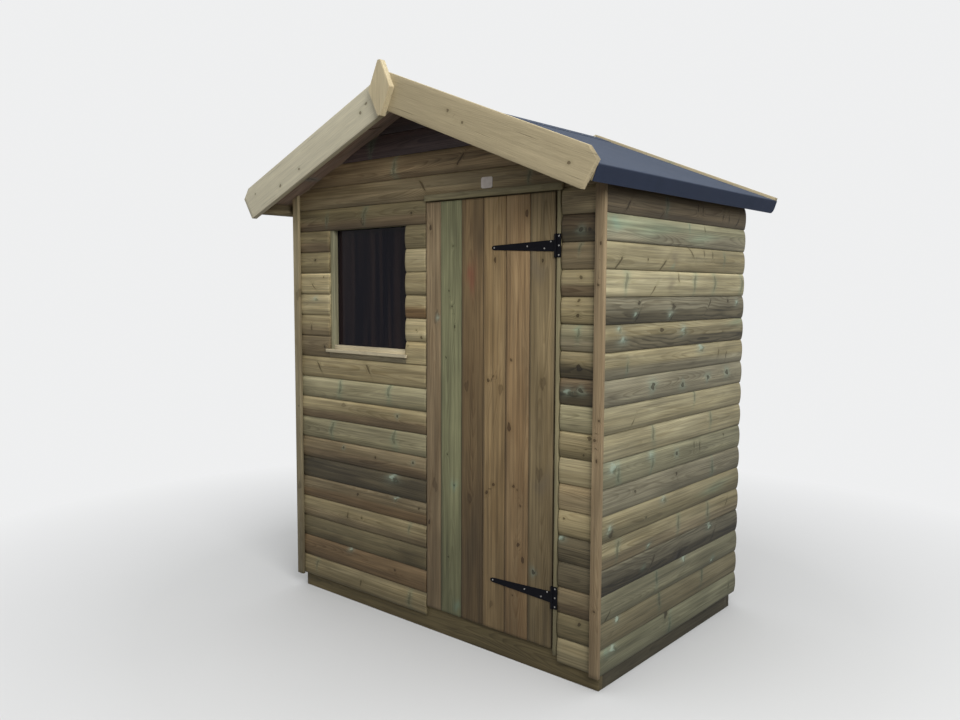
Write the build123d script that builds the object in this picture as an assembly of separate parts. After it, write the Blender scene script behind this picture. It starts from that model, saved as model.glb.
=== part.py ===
from build123d import *
from math import atan, cos, sin
import os

# Apex garden shed, clad in log-lap boards, with a tee-hinged door in its wide gable end.
# Millimetres. X runs across the gable, Y from the front to the back, Z up.
# The origin is on the ground, at the middle of the whole outline.

# Front wall, from its left end to its right
left_pier = 240.0
window_width = 532.5
middle_pier = 127.0
door_latch_gap = 5.5
door_width = 688.0
door_hinge_gap = 8.0
jamb_strip_width = 20.0
right_pier = 187.0

# Heights, from the ground up
threshold_height = 109.0
door_threshold_gap = 3.0
door_height = 1792.0
door_head_gap = 14.0
gable_heel = 49.0
wall_over_window = 103.0
window_height = 591.0

# Walls
wall_depth = 1211.0
clad_thickness = 16.0
clad_groove = 7.0
clad_bottom = 64.0
course = 103.0
frame_depth = 28.0
frame_width = 44.0
back_stud_count = 4
side_stud_count = 3

# Floor
rim_height = 59.0
rim_thickness = 28.0
floor_thickness = 12.0
floor_short_back = 20.0
floor_short_left = 22.0
joist_width = 44.0
joist_count = 3

# Roof
roof_rise_per_run = 0.405
eaves_overhang = 87.5
roof_board = 11.0
eaves_rail_width = 28.0
eaves_rail_depth = 50.0
purlin_width = 28.0
purlin_depth = 44.0
purlin_from_ridge = 540.0
ridge_purlin_width = 28.0
ridge_purlin_depth = 60.0
felt_thickness = 2.5
cap_reach = 110.0
front_overhang = 230.0
back_overhang = 139.0

# Bargeboards and finial
barge_width = 145.0
back_barge_width = 66.0
barge_thickness = 27.0
barge_past_eaves = 6.0
barge_chamfer_run = 52.0
barge_chamfer_drop = 33.0
barge_heel_run = 22.0
front_barge_rise = 46.0
back_barge_rise = 12.0
finial_thickness = 28.0
finial_width = 128.0
finial_left_of_ridge = 12.0
finial_over_barge = 43.0
finial_under_barge = 24.0
finial_point_height = 115.0
finial_top_flat = 17.0
finial_bottom_flat = 18.0

# Corner battens
batten_width = 42.0
batten_thickness = 16.0
batten_past_clad = 3.0

# Door
door_board = 11.0
door_board_cover = 120.0
door_groove_width = 6.0
door_groove_depth = 3.0
door_stop_overlap = 13.0
door_head_overlap = 12.0
jamb_strip_lap = 19.0
head_strip_height = 26.0
head_strip_thickness = 12.0
head_strip_gap = 5.0
head_strip_past_jamb = 10.0
ledge_height = 90.0
ledge_thickness = 18.0
ledge_end_clear = 16.0
brace_width = 70.0

# Tee hinges
hinge_from_bottom = 212.0
hinge_from_top = 204.0
hinge_plate_height = 90.0
hinge_plate_thickness = 2.5
knuckle_radius = 4.5
knuckle_stand = 4.0
knuckle_clear = 0.5
pin_radius = 2.2
pin_clear = 0.05
strap_length = 312.0
strap_root_height = 45.0
strap_tip_height = 18.0

# Window
stud_shows = 21.0
rail_shows = 20.0
sill_thickness = 15.0
sill_nose = 11.0
sill_horn = 15.0
glass_thickness = 3.0
glass_lap = 10.0
bead_thickness = 10.0
bead_joint = 0.5

# Places across the front
openings_width = window_width + door_latch_gap + door_width + door_hinge_gap + jamb_strip_width
wall_width = 2 * clad_thickness + left_pier + middle_pier + right_pier + openings_width
half_width = wall_width / 2
clad_inner = half_width - clad_thickness
frame_inner = clad_inner - frame_depth
window_left = -clad_inner + left_pier
window_right = window_left + window_width
latch_clad_end = window_right + middle_pier
door_latch_edge = latch_clad_end + door_latch_gap
door_hinge_edge = door_latch_edge + door_width
jamb_strip_left = door_hinge_edge + door_hinge_gap
jamb_strip_right = jamb_strip_left + jamb_strip_width
pane_left = window_left + stud_shows

# Places from the front to the back
overall_length = finial_thickness + front_overhang + wall_depth + back_overhang
outline_near = -overall_length / 2
front = outline_near + finial_thickness + front_overhang
back = front + wall_depth
frame_front = front + clad_thickness
frame_back = back - clad_thickness
inside_near = frame_front + frame_depth
inside_far = frame_back - frame_depth
barge_front = front - front_overhang
barge_back = back + back_overhang
roof_near = barge_front + barge_thickness
roof_far = barge_back - barge_thickness

# Heights
floor_top = rim_height + floor_thickness
plate_top = floor_top + frame_width
door_bottom = threshold_height + door_threshold_gap
door_top = door_bottom + door_height
head_rail_bottom = door_top - door_head_overlap
head_rail_top = head_rail_bottom + frame_width
gable_bottom = door_top + door_head_gap
window_top = gable_bottom - wall_over_window
sill_bottom = window_top - window_height
pane_bottom = sill_bottom + sill_thickness + rail_shows
low_hinge = door_bottom + hinge_from_bottom
high_hinge = door_top - hinge_from_top
hinge_heights = (low_hinge, high_hinge)
ledge_heights = (low_hinge, (low_hinge + high_hinge) / 2, high_hinge)

# Roof slope and hinge axis
slope = atan(roof_rise_per_run)
side_wall_top = head_rail_top + gable_heel
ridge_height = side_wall_top + clad_inner * roof_rise_per_run + roof_board / cos(slope)
slope_length = (half_width + eaves_overhang) / cos(slope)
hinge_x = door_hinge_edge + door_hinge_gap / 2
hinge_y = front - knuckle_stand


def roof_point(along, above):
    """A point of the right roof slope, as X and Z: down the slope, and square to its boards."""
    x = along * cos(slope) + above * sin(slope)
    z = ridge_height - along * sin(slope) + above * cos(slope)
    return x, z


def ridge_point(above):
    """The point on the centre line that lies this far above the slope's board surface."""
    return 0.0, ridge_height + above / cos(slope)


def box(low, high):
    """A box between two corners."""
    size = [b - a for a, b in zip(low, high)]
    return Pos(*low) * Box(*size, align=(Align.MIN, Align.MIN, Align.MIN))


def prism_xz(points, y_low, y_high):
    """An outline in X and Z, drawn out along Y."""
    outline = Plane.XZ * make_face(Polyline(*points, close=True))
    return Pos(0, y_high, 0) * extrude(outline, amount=y_high - y_low)


def mirrored(shape):
    """The same piece on the other side of the ridge line."""
    return mirror(shape, about=Plane.YZ)


def under_roof():
    """Everything below the underside of the roof boards."""
    right_x, eaves_z = roof_point(slope_length, -roof_board)
    outline = [(-right_x, 0), (-right_x, eaves_z), ridge_point(-roof_board)]
    outline = outline + [(right_x, eaves_z), (right_x, 0)]
    return prism_xz(outline, -overall_length, overall_length)


def log_lap(length, low, high):
    """Log-lap cladding facing -Y with its crests on Y = 0, from X = 0 to its length."""
    first = int((low - clad_bottom) // course)
    last = int(-((clad_bottom - high) // course))
    z_low = clad_bottom + first * course
    z_high = clad_bottom + last * course
    edges = [Line((0, clad_thickness, z_high), (0, clad_thickness, z_low))]
    edges.append(Line((0, clad_thickness, z_low), (0, clad_groove, z_low)))
    for k in range(first, last):
        z = clad_bottom + k * course
        start = (0, clad_groove, z)
        crest = (0, 0, z + course / 2)
        end = (0, clad_groove, z + course)
        edges.append(ThreePointArc(start, crest, end))
    edges.append(Line((0, clad_groove, z_high), (0, clad_thickness, z_high)))
    section = Face(Wire(edges))
    board = extrude(section, amount=length, dir=(1, 0, 0))
    return board & box((0, 0, low), (length, clad_thickness, high))


def front_panel(x_low, x_high, low, high):
    return Pos(x_low, front, 0) * log_lap(x_high - x_low, low, high)


def front_walls(roof):
    """The front cladding, in panels round the window and the door."""
    left = -clad_inner
    beside = latch_clad_end
    return {
        "front_wall_below_window": front_panel(left, beside, clad_bottom, sill_bottom),
        "front_wall_left_of_window": front_panel(left, window_left, sill_bottom, window_top),
        "front_wall_right_of_window": front_panel(window_right, beside, sill_bottom, window_top),
        "front_wall_over_window": front_panel(left, beside, window_top, gable_bottom),
        "front_wall_right_of_door": front_panel(jamb_strip_right, clad_inner, clad_bottom, gable_bottom),
        "front_gable": front_panel(left, clad_inner, gable_bottom, ridge_height) & roof,
    }


def back_wall(roof):
    panel = Pos(-clad_inner, 0, 0) * log_lap(2 * clad_inner, clad_bottom, ridge_height)
    return (Pos(0, back, 0) * Rot(0, 0, 180) * panel) & roof


def right_wall(roof):
    panel = log_lap(wall_depth, clad_bottom, ridge_height)
    return (Pos(half_width, front, 0) * Rot(0, 0, 90) * panel) & roof


def floor_pieces():
    left = -clad_inner + floor_short_left
    right = clad_inner
    far = frame_back - floor_short_back
    rim_near = far - rim_thickness
    threshold = box((left, frame_front, 0), (right, inside_near, threshold_height))
    back_rim = box((left, rim_near, 0), (right, far, rim_height))
    joists = [
        box((left, inside_near, 0), (left + rim_thickness, rim_near, rim_height)),
        box((right - rim_thickness, inside_near, 0), (right, rim_near, rim_height)),
    ]
    for k in range(joist_count):
        centre = left + (right - left) * (k + 1) / (joist_count + 1)
        low = (centre - joist_width / 2, inside_near, 0)
        high = (centre + joist_width / 2, rim_near, rim_height)
        joists.append(box(low, high))
    boards = box((left, inside_near, rim_height), (right, far, floor_top))
    return {
        "threshold_board": threshold,
        "floor_back_rim": back_rim,
        "floor_joists": Compound(joists),
        "floor_boards": boards,
    }


def upright(x_low, y_low, z_low, z_high):
    """A stud with its broad face to the cladding of the front or back wall."""
    return box((x_low, y_low, z_low), (x_low + frame_width, y_low + frame_depth, z_high))


def front_frame():
    latch_stud = door_latch_edge + door_stop_overlap - frame_width
    hinge_stud = jamb_strip_right - frame_width
    places = [-clad_inner, pane_left - frame_width, window_right, latch_stud, hinge_stud]
    places.append(clad_inner - frame_width)
    studs = [upright(x, frame_front, threshold_height, head_rail_bottom) for x in places]
    rails = [
        box((-clad_inner, frame_front, head_rail_bottom), (clad_inner, inside_near, head_rail_top)),
        box((pane_left, frame_front, pane_bottom - frame_width), (window_right, inside_near, pane_bottom)),
        box((pane_left, frame_front, window_top), (window_right, inside_near, window_top + frame_width)),
    ]
    return {"front_studs": Compound(studs), "front_rails": Compound(rails)}


def back_frame():
    spacing = (2 * clad_inner - frame_width) / (back_stud_count - 1)
    places = [-clad_inner + spacing * k for k in range(back_stud_count)]
    studs = [upright(x, inside_far, plate_top, head_rail_bottom) for x in places]
    rails = [
        box((-clad_inner, inside_far, floor_top), (clad_inner, frame_back, plate_top)),
        box((-clad_inner, inside_far, head_rail_bottom), (clad_inner, frame_back, head_rail_top)),
    ]
    return {"back_studs": Compound(studs), "back_rails": Compound(rails)}


def gable_frame(y_low, roof):
    """The two sloping members and the king post above a head rail."""
    y_high = y_low + frame_depth
    lower_x, lower_z = roof_point(slope_length, -roof_board - frame_width)
    upper_x, upper_z = roof_point(slope_length, -roof_board)
    bottom = ridge_point(-roof_board - frame_width)
    top = ridge_point(-roof_board)
    slanted = prism_xz([bottom, top, (upper_x, upper_z), (lower_x, lower_z)], y_low, y_high)
    room = box((0, y_low, head_rail_top), (clad_inner, y_high, ridge_height))
    right = slanted & room
    post = box((-frame_width / 2, y_low, head_rail_top), (frame_width / 2, y_high, bottom[1]))
    left = mirrored(right)
    return (right + left + post) & roof


def side_frame(roof):
    """Plates and studs of the right wall, between the front and back frames."""
    plate_low = side_wall_top - frame_width
    plates = [
        box((frame_inner, inside_near, floor_top), (clad_inner, inside_far, plate_top)),
        box((frame_inner, inside_near, plate_low), (clad_inner, inside_far, ridge_height)) & roof,
    ]
    spacing = (inside_far - inside_near - frame_width) / (side_stud_count - 1)
    studs = []
    for k in range(side_stud_count):
        y_low = inside_near + spacing * k
        studs.append(box((frame_inner, y_low, plate_top), (clad_inner, y_low + frame_width, plate_low)))
    return plates, studs


def corner_batten(outer, y_low, roof):
    """The right batten of the front or the back, with its outer edge at this X."""
    low = (outer - batten_width, y_low, clad_bottom - batten_past_clad)
    high = (outer, y_low + batten_thickness, ridge_height)
    return box(low, high) & roof


def window_pieces():
    """The sill with its nose, and the pane held to the inside of the framing by four beads."""
    base = sill_bottom + sill_thickness
    sill = box((window_left, front, sill_bottom), (window_right, frame_front, base))
    nose_low = (window_left - sill_horn, front - sill_nose, sill_bottom)
    nose = box(nose_low, (window_right + sill_horn, front, base))
    left = pane_left - glass_lap
    right = window_right + glass_lap
    low = pane_bottom - glass_lap
    high = window_top + glass_lap
    near = inside_near + glass_thickness
    far = near + bead_thickness
    beads = [
        box((left, near, low), (pane_left, far, high)),
        box((window_right, near, low), (right, far, high)),
        box((pane_left + bead_joint, near, low), (window_right - bead_joint, far, pane_bottom)),
        box((pane_left + bead_joint, near, window_top), (window_right - bead_joint, far, high)),
    ]
    return {
        "window_sill": sill + nose,
        "window_glass": box((left, inside_near, low), (right, near, high)),
        "window_beads": Compound(beads),
    }


def door_leaf():
    """Boards with a V groove at each joint, of equal cover but for a narrower one at the latch."""
    leaf = box((door_latch_edge, front, door_bottom), (door_hinge_edge, front + door_board, door_top))
    half = door_groove_width / 2
    joint = door_hinge_edge - door_board_cover
    while joint > door_latch_edge:
        corners = [(joint - half, front), (joint + half, front), (joint, front + door_groove_depth)]
        section = Pos(0, 0, door_bottom) * make_face(Polyline(*corners, close=True))
        leaf = leaf - extrude(section, amount=door_height, dir=(0, 0, 1))
        joint = joint - door_board_cover
    return leaf


def door_backing():
    """Ledges and braces on the inside of the door, between the studs of its opening."""
    left = door_latch_edge + door_stop_overlap + ledge_end_clear
    right = jamb_strip_right - frame_width - ledge_end_clear
    y_low = front + door_board
    y_high = y_low + ledge_thickness
    ledges = []
    for z in ledge_heights:
        ledges.append(box((left, y_low, z - ledge_height / 2), (right, y_high, z + ledge_height / 2)))
    braces = []
    for lower, upper in zip(ledge_heights, ledge_heights[1:]):
        z_low = lower + ledge_height / 2
        z_high = upper - ledge_height / 2
        foot = [(right - brace_width, z_low), (right, z_low)]
        head = [(left + brace_width, z_high), (left, z_high)]
        braces.append(prism_xz(foot + head, y_low, y_high))
    return {"door_ledges": Compound(ledges), "door_braces": Compound(braces)}


def strips():
    """The strip between the door and the right pier, and the one over the door."""
    head_low = door_top + head_strip_gap
    jamb_low = threshold_height - jamb_strip_lap
    jamb = box((jamb_strip_left, front, jamb_low), (jamb_strip_right, frame_front, gable_bottom))
    low = (door_latch_edge, front - head_strip_thickness, head_low)
    high = (jamb_strip_right + head_strip_past_jamb, front, head_low + head_strip_height)
    return {"door_jamb_strip": jamb, "door_head_strip": box(low, high)}


def barrel(radius, z_low, z_high):
    return Pos(hinge_x, hinge_y, z_low) * extrude(Circle(radius), amount=z_high - z_low)


def hinge_plate(centre):
    """The upright plate with its two knuckles and the pin."""
    half = hinge_plate_height / 2
    knuckle = strap_root_height / 2 + knuckle_clear
    edge = hinge_x + knuckle_radius + knuckle_clear
    face = front - hinge_plate_thickness
    plate = box((edge, face, centre - half), (jamb_strip_right, front, centre + half))
    for z_low, z_high in ((centre - half, centre - knuckle), (centre + knuckle, centre + half)):
        web = box((hinge_x, face, z_low), (edge, front, z_high))
        plate = plate + web + barrel(knuckle_radius, z_low, z_high)
    return plate + barrel(pin_radius, centre - half, centre + half)


def hinge_strap(centre):
    """The tapered strap with its middle knuckle."""
    root = strap_root_height / 2
    tip = strap_tip_height / 2
    tip_x = door_hinge_edge - strap_length
    points = [(hinge_x, centre - root), (hinge_x, centre + root), (tip_x + tip, centre + tip)]
    points = points + [(tip_x, centre + tip / 2), (tip_x, centre - tip / 2), (tip_x + tip, centre - tip)]
    strap = prism_xz(points, front - hinge_plate_thickness, front)
    strap = strap + barrel(knuckle_radius, centre - root, centre + root)
    return strap - barrel(pin_radius + pin_clear, centre - root, centre + root)


def roof_boards():
    outline = [ridge_point(0), roof_point(slope_length, 0)]
    outline = outline + [roof_point(slope_length, -roof_board), ridge_point(-roof_board)]
    return prism_xz(outline, roof_near, roof_far)


def slope_rail(along, width, above, depth, y_low, y_high):
    """A rail square to the slope, its lower edge this far down it."""
    outline = [roof_point(along - width, above), roof_point(along, above)]
    outline = outline + [roof_point(along, above - depth), roof_point(along - width, above - depth)]
    return prism_xz(outline, y_low, y_high)


def felt_sheet():
    """The right slope's felt, folded down at the eaves and on past the end of the back bargeboard."""
    fold = eaves_rail_depth + roof_board
    outside = slope_length + felt_thickness
    fold_edge = [roof_point(outside, -fold), roof_point(outside, felt_thickness)]
    slope_edge = [ridge_point(felt_thickness), ridge_point(0), roof_point(slope_length, 0)]
    sheet = prism_xz(fold_edge + slope_edge + [roof_point(slope_length, -fold)], roof_near, roof_far)
    lip_edge = [roof_point(slope_length, felt_thickness), roof_point(slope_length, -fold)]
    return sheet + prism_xz(fold_edge + lip_edge, roof_far, barge_back)


def felt_cap():
    top = 2 * felt_thickness
    outline = [ridge_point(felt_thickness), roof_point(cap_reach, felt_thickness)]
    outline = outline + [roof_point(cap_reach, top), ridge_point(top)]
    right = prism_xz(outline, roof_near, roof_far)
    return right + mirrored(right)


def ridge_purlin(y_low, y_high):
    side = ridge_purlin_width / 2
    top = ridge_point(-roof_board)
    side_z = top[1] - side * roof_rise_per_run
    bottom = top[1] - ridge_purlin_depth
    return prism_xz([top, (side, side_z), (side, bottom), (-side, bottom), (-side, side_z)], y_low, y_high)


def front_bargeboard():
    """The right bargeboard of the front, with a chamfered lower end."""
    top = felt_thickness + front_barge_rise
    low = top - barge_width
    end = slope_length + barge_past_eaves
    outline = [ridge_point(top), roof_point(end - barge_chamfer_run, top)]
    outline.append(roof_point(end, top - barge_chamfer_drop))
    outline = outline + [roof_point(end - barge_heel_run, low), ridge_point(low)]
    return prism_xz(outline, barge_front, roof_near)


def back_bargeboard():
    """The narrower right bargeboard of the back, cut square at the fold of the felt."""
    top = felt_thickness + back_barge_rise
    low = top - back_barge_width
    outline = [ridge_point(top), roof_point(slope_length, top)]
    outline = outline + [roof_point(slope_length, low), ridge_point(low)]
    return prism_xz(outline, roof_far, barge_back)


def finial():
    """The pointed board over the joint of the front bargeboards, nailed on a little left of the ridge."""
    barge_top = felt_thickness + front_barge_rise
    top_z = ridge_point(barge_top)[1] + finial_over_barge
    bottom_z = ridge_point(barge_top - barge_width)[1] - finial_under_barge
    shoulder_z = top_z - finial_point_height
    side = finial_width / 2
    top = finial_top_flat / 2
    bottom = finial_bottom_flat / 2
    points = [(-top, top_z), (top, top_z), (side, shoulder_z)]
    points = points + [(bottom, bottom_z), (-bottom, bottom_z), (-side, shoulder_z)]
    return Pos(-finial_left_of_ridge, 0, 0) * prism_xz(points, outline_near, barge_front)


roof_space = under_roof()
parts = {}
parts.update(floor_pieces())
parts.update(front_walls(roof_space))
parts["back_wall"] = back_wall(roof_space)
parts["right_wall"] = right_wall(roof_space)
parts["left_wall"] = mirrored(parts["right_wall"])
parts.update(front_frame())
parts.update(back_frame())
parts["front_gable_frame"] = gable_frame(frame_front, roof_space)
parts["back_gable_frame"] = gable_frame(inside_far, roof_space)
side_plates, side_studs = side_frame(roof_space)
parts["side_plates"] = Compound(side_plates + [mirrored(plate) for plate in side_plates])
parts["side_studs"] = Compound(side_studs + [mirrored(stud) for stud in side_studs])
battens = [corner_batten(half_width, front - batten_thickness, roof_space)]
battens.append(corner_batten(clad_inner, back, roof_space))
parts["corner_battens"] = Compound(battens + [mirrored(batten) for batten in battens])
parts.update(window_pieces())
parts["door_boards"] = door_leaf()
parts.update(door_backing())
parts.update(strips())
parts["hinge_plates"] = Compound([hinge_plate(z) for z in hinge_heights])
parts["hinge_straps"] = Compound([hinge_strap(z) for z in hinge_heights])
parts["roof_boards_right"] = roof_boards()
parts["roof_boards_left"] = mirrored(parts["roof_boards_right"])
under = -roof_board
rail = slope_rail(slope_length, eaves_rail_width, under, eaves_rail_depth, roof_near, roof_far)
parts["eaves_rails"] = Compound([rail, mirrored(rail)])
purlin = slope_rail(purlin_from_ridge, purlin_width, under, purlin_depth, inside_near, inside_far)
parts["roof_purlins"] = Compound([purlin, mirrored(purlin)])
parts["ridge_purlin"] = ridge_purlin(inside_near, inside_far)
parts["felt_right"] = felt_sheet()
parts["felt_left"] = mirrored(parts["felt_right"])
parts["felt_ridge_cap"] = felt_cap()
parts["front_bargeboard_right"] = front_bargeboard()
parts["front_bargeboard_left"] = mirrored(parts["front_bargeboard_right"])
parts["back_bargeboard_right"] = back_bargeboard()
parts["back_bargeboard_left"] = mirrored(parts["back_bargeboard_right"])
parts["front_finial"] = finial()

os.makedirs("parts", exist_ok=True)
for name, shape in parts.items():
    export_step(shape, f"parts/{name}.step")
print(len(parts), "nodes, wall width", wall_width, "ridge", round(ridge_height, 2))
print("hinge axis", round(hinge_x, 2), round(hinge_y, 2), "front", front, "back", back)
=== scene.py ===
from collections import namedtuple
import math
import random

import bmesh
import bpy
from mathutils import Matrix, Vector


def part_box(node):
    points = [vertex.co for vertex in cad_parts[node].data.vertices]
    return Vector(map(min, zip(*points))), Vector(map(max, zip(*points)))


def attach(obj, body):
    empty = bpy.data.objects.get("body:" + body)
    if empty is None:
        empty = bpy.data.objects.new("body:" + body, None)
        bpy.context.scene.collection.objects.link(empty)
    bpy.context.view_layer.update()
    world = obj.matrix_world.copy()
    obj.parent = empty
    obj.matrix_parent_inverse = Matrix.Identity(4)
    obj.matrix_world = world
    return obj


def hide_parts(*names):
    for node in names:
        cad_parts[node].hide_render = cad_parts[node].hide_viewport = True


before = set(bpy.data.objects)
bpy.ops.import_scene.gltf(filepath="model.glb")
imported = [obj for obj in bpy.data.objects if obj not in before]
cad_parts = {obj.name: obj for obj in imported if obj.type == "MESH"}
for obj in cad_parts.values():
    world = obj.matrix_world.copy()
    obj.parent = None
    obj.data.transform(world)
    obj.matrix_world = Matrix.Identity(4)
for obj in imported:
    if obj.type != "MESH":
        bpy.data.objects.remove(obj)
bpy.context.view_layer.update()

# Log-lap garden shed, in metres, in the model's own frame: X across the gable end, Y to the back, Z up.
X, Y, Z = UNITS = (Vector((1, 0, 0)), Vector((0, 1, 0)), Vector((0, 0, 1)))

# Camera, at the photograph's viewing angle
CAMERA_PLACE = Vector((2.5671, -3.1592, 1.5343))
CAMERA_TURN = math.radians(40.776)
CAMERA_DROP = math.radians(-4.859)
CAMERA_ROLL = math.radians(0.207)
CAMERA_LENS_MM = 31.32
SENSOR_MM = 36.0

# Light. Each lamp's share is of a plain light level at the shed
SKY_HORIZON = 0.30
SKY_ZENITH = 1.00
SKY_TINT = (0.97, 0.985, 1.0)
LAMPS = {
    "key_lamp": {"place": Vector((4.9, -3.1, 3.7)), "size": 3.0, "share": 0.575},
    "top_lamp": {"place": Vector((0.4, -0.6, 5.6)), "size": 4.0, "share": 0.40},
}
LAMP_TARGET = Vector((0.2, -0.2, 1.0))
BACKDROP = (0.86, 0.865, 0.87)
FLOOR_SHOWN = (0.66, 0.66, 0.655)
FLOOR_SPOTS = 0.98
FLOOR_BOUNCE = (0.10, 0.095, 0.09)
FLOOR_NEAR = 1.7
FLOOR_FAR = 3.6
FLOOR_SIZE = 60.0

# Places read from the model
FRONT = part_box("front_wall_below_window")[0].y
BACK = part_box("back_wall")[1].y
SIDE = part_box("right_wall")[1].x
CLAD_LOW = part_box("right_wall")[0].z
CLAD_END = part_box("front_wall_right_of_door")[1].x
LATCH_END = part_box("front_wall_below_window")[1].x
PIER_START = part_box("front_wall_right_of_door")[0].x
WINDOW_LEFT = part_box("front_wall_left_of_window")[1].x
WINDOW_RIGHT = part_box("front_wall_right_of_window")[0].x
SILL_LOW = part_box("window_sill")[0].z
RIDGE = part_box("roof_boards_right")[1].z
EAVES_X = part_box("roof_boards_right")[1].x
ROOF_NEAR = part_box("roof_boards_right")[0].y
ROOF_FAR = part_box("roof_boards_right")[1].y
BARGE_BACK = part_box("back_bargeboard_right")[1].y
SIDE_DEPTH = BACK - FRONT

# How finely the timbers are made, and how much their edges are eased
FINE = 0.012
COARSE = 0.03
EASE = 0.0015
SHARP_ANGLE = math.radians(50)

# Sizes of the walls and the roof
COURSE = 0.103
COURSES_UNDER_GABLE = 18
WINDOW_COURSE = 11
CLAD_THICKNESS = 0.016
RISE = 0.405
SLOPE = math.atan(RISE)
SLOPE_LENGTH = EAVES_X / math.cos(SLOPE)
ROOF_BOARD = 0.011
RIDGE_UNDER = RIDGE - ROOF_BOARD / math.cos(SLOPE)
FELT = 0.0025
FELT_FOLD = 0.061
FOLD_TOP = RIDGE - SLOPE_LENGTH * math.sin(SLOPE) - 0.004
FOLD_FADE = 0.008


def srgb(red, green, blue):
    """A colour as a picture gives it, 0 to 255, in the linear values that a material takes."""
    return tuple((c / 255 / 12.92) if c / 255 <= 0.04045 else ((c / 255 + 0.055) / 1.055) ** 2.4
                 for c in (red, green, blue))


# Wood tones: the pale early wood, then the darker streaks
TONES = {
    "cream": (srgb(184, 175, 141), srgb(160, 149, 114)),
    "straw": (srgb(170, 160, 126), srgb(142, 130, 96)),
    "tan": (srgb(160, 148, 118), srgb(126, 112, 84)),
    "olive": (srgb(150, 141, 108), srgb(118, 108, 80)),
    "moss": (srgb(150, 148, 120), srgb(116, 114, 88)),
    "sage": (srgb(154, 150, 122), srgb(124, 120, 94)),
    "driftwood": (srgb(152, 146, 122), srgb(114, 107, 86)),
    "slate": (srgb(120, 112, 89), srgb(72, 66, 49)),
    "brown": (srgb(134, 120, 94), srgb(94, 80, 60)),
    "umber": (srgb(102, 94, 72), srgb(60, 55, 40)),
    # Painted shade: a dark purplish tone for the gable's top boards in the roof's shadow
    "dusk": (srgb(98, 86, 86), srgb(60, 52, 54)),
    "orange": (srgb(142, 122, 92), srgb(114, 94, 66)),
    "rose": (srgb(152, 133, 103), srgb(122, 102, 75)),
    "honey": (srgb(160, 136, 98), srgb(132, 107, 71)),
    "amber": (srgb(138, 116, 82), srgb(106, 84, 56)),
    "copper": (srgb(158, 133, 97), srgb(130, 103, 70)),
    "mint": (srgb(138, 137, 103), srgb(110, 109, 80)),
    "planed": (srgb(176, 162, 130), srgb(160, 146, 114)),
    "ash": (srgb(215, 207, 181), srgb(198, 190, 162)),
    "bone": (srgb(210, 197, 166), srgb(188, 175, 144)),
    "sawn": (srgb(150, 138, 108), srgb(118, 104, 78)),
    "acorn": (srgb(149, 131, 97), srgb(117, 100, 69)),
    "birch": (srgb(206, 192, 156), srgb(182, 163, 130)),
    "peat": (srgb(72, 67, 53), srgb(48, 45, 35)),
    "earth": (srgb(122, 109, 77), srgb(88, 77, 53)),
}
PLAIN_TONES = ("straw", "olive", "tan", "cream", "driftwood", "brown", "sage", "straw|olive", "slate*",
               "tan|brown")
TEAL = srgb(132, 158, 138)
MINT = srgb(140, 160, 134)
PALE = srgb(160, 174, 156)
PAINTED_SHADE_DARK = srgb(70, 62, 50)
REDDISH = srgb(134, 90, 66)
GREY = srgb(118, 107, 90)
# Painted shade on the felt's fold over the eaves, darker and bluer
FOLD_PAINTED_SHADE = (0.27, 0.265, 0.38)

# The rings in the wood: how far the heart of the log wanders across a board and lies behind its face, how
# far the rings wave, more in a board with wavy grain, and how far they swirl round a knot
HEART_SWAY = 0.16
HEART_DEPTH = 0.07
RING_WAVE = 0.012
FIGURE_WAVE = 0.034
KNOT_SWIRL = 0.014

# What a mark on a board is: half sizes along and across, slant, how dark the knot is (below nothing for a
# pale chip), how far the surface stands out, and the paint round it with its weight and reach
Mark = namedtuple("Mark", "along across slant knot relief paint weight reach", defaults=(0.0, None, 0.0, 1.0))
MARKS = {
    "bar": Mark(0.0085, 0.034, 0.10, 0.46, 0.0004, TEAL, 0.44, 2.3),
    "tick": Mark(0.0042, 0.014, 0.15, 0.70, 0.0002),
    "slash": Mark(0.0060, 0.024, 0.85, 0.85, 0.0004),
    "back": Mark(0.0060, 0.024, -0.85, 0.80, 0.0004),
    "ring": Mark(0.0090, 0.0085, 0.0, 1.0, 0.0006, PALE, 0.85, 2.1),
    "knot": Mark(0.0110, 0.0110, 0.0, 0.95, 0.0006),
    "long": Mark(0.0170, 0.0085, 0.0, 0.95, 0.0006),
    "dot": Mark(0.0045, 0.0045, 0.0, 0.85),
    "soft": Mark(0.0240, 0.0150, 0.0, 0.45),
    "chip": Mark(0.0160, 0.0135, 0.3, -0.80, 0.0, PALE, 0.56, 2.2),
    "teal": Mark(0.018, 0.018, 0.2, 0.0, 0.0, TEAL, 0.60),
    "wash": Mark(0.120, 0.026, 0.0, 0.0, 0.0, MINT, 0.55),
    # A notch's dark paint round its dent, and a shade mark, are painted shade
    "notch": Mark(0.012, 0.014, 0.4, 0.8, -0.0030, PAINTED_SHADE_DARK, 0.70, 1.2),
    "shade": Mark(0.060, 0.024, 0.1, 0.0, 0.0, PAINTED_SHADE_DARK, 0.45),
    "grey": Mark(0.040, 0.045, 0.0, 0.0, 0.0, GREY, 0.55),
    "stain": Mark(0.046, 0.020, 0.0, 0.0, 0.0, REDDISH, 1.3, 1.15),
}
HIDDEN_KINDS = ("bar", "bar", "bar", "slash", "back", "ring", "dot", "knot", "chip", "teal")

# Painted light and shade across a board, at each share of its width from its low edge to its high one: a
# painted highlight near a log-lap board's top, painted shade at its lap, and painted shade in the door's
# grooves
EVEN = ((0.0, 1.0), (1.0, 1.0))
LAP_PAINTED_LIGHT = ((0.0, 0.64), (0.15, 0.89), (0.35, 1.0), (0.76, 1.0), (0.92, 1.19), (1.0, 1.10))
GROOVE_PAINTED_SHADE = ((0.0, 0.46), (0.018, 0.76), (0.04, 1.03), (0.96, 1.03), (0.982, 0.76), (1.0, 0.46))
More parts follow.
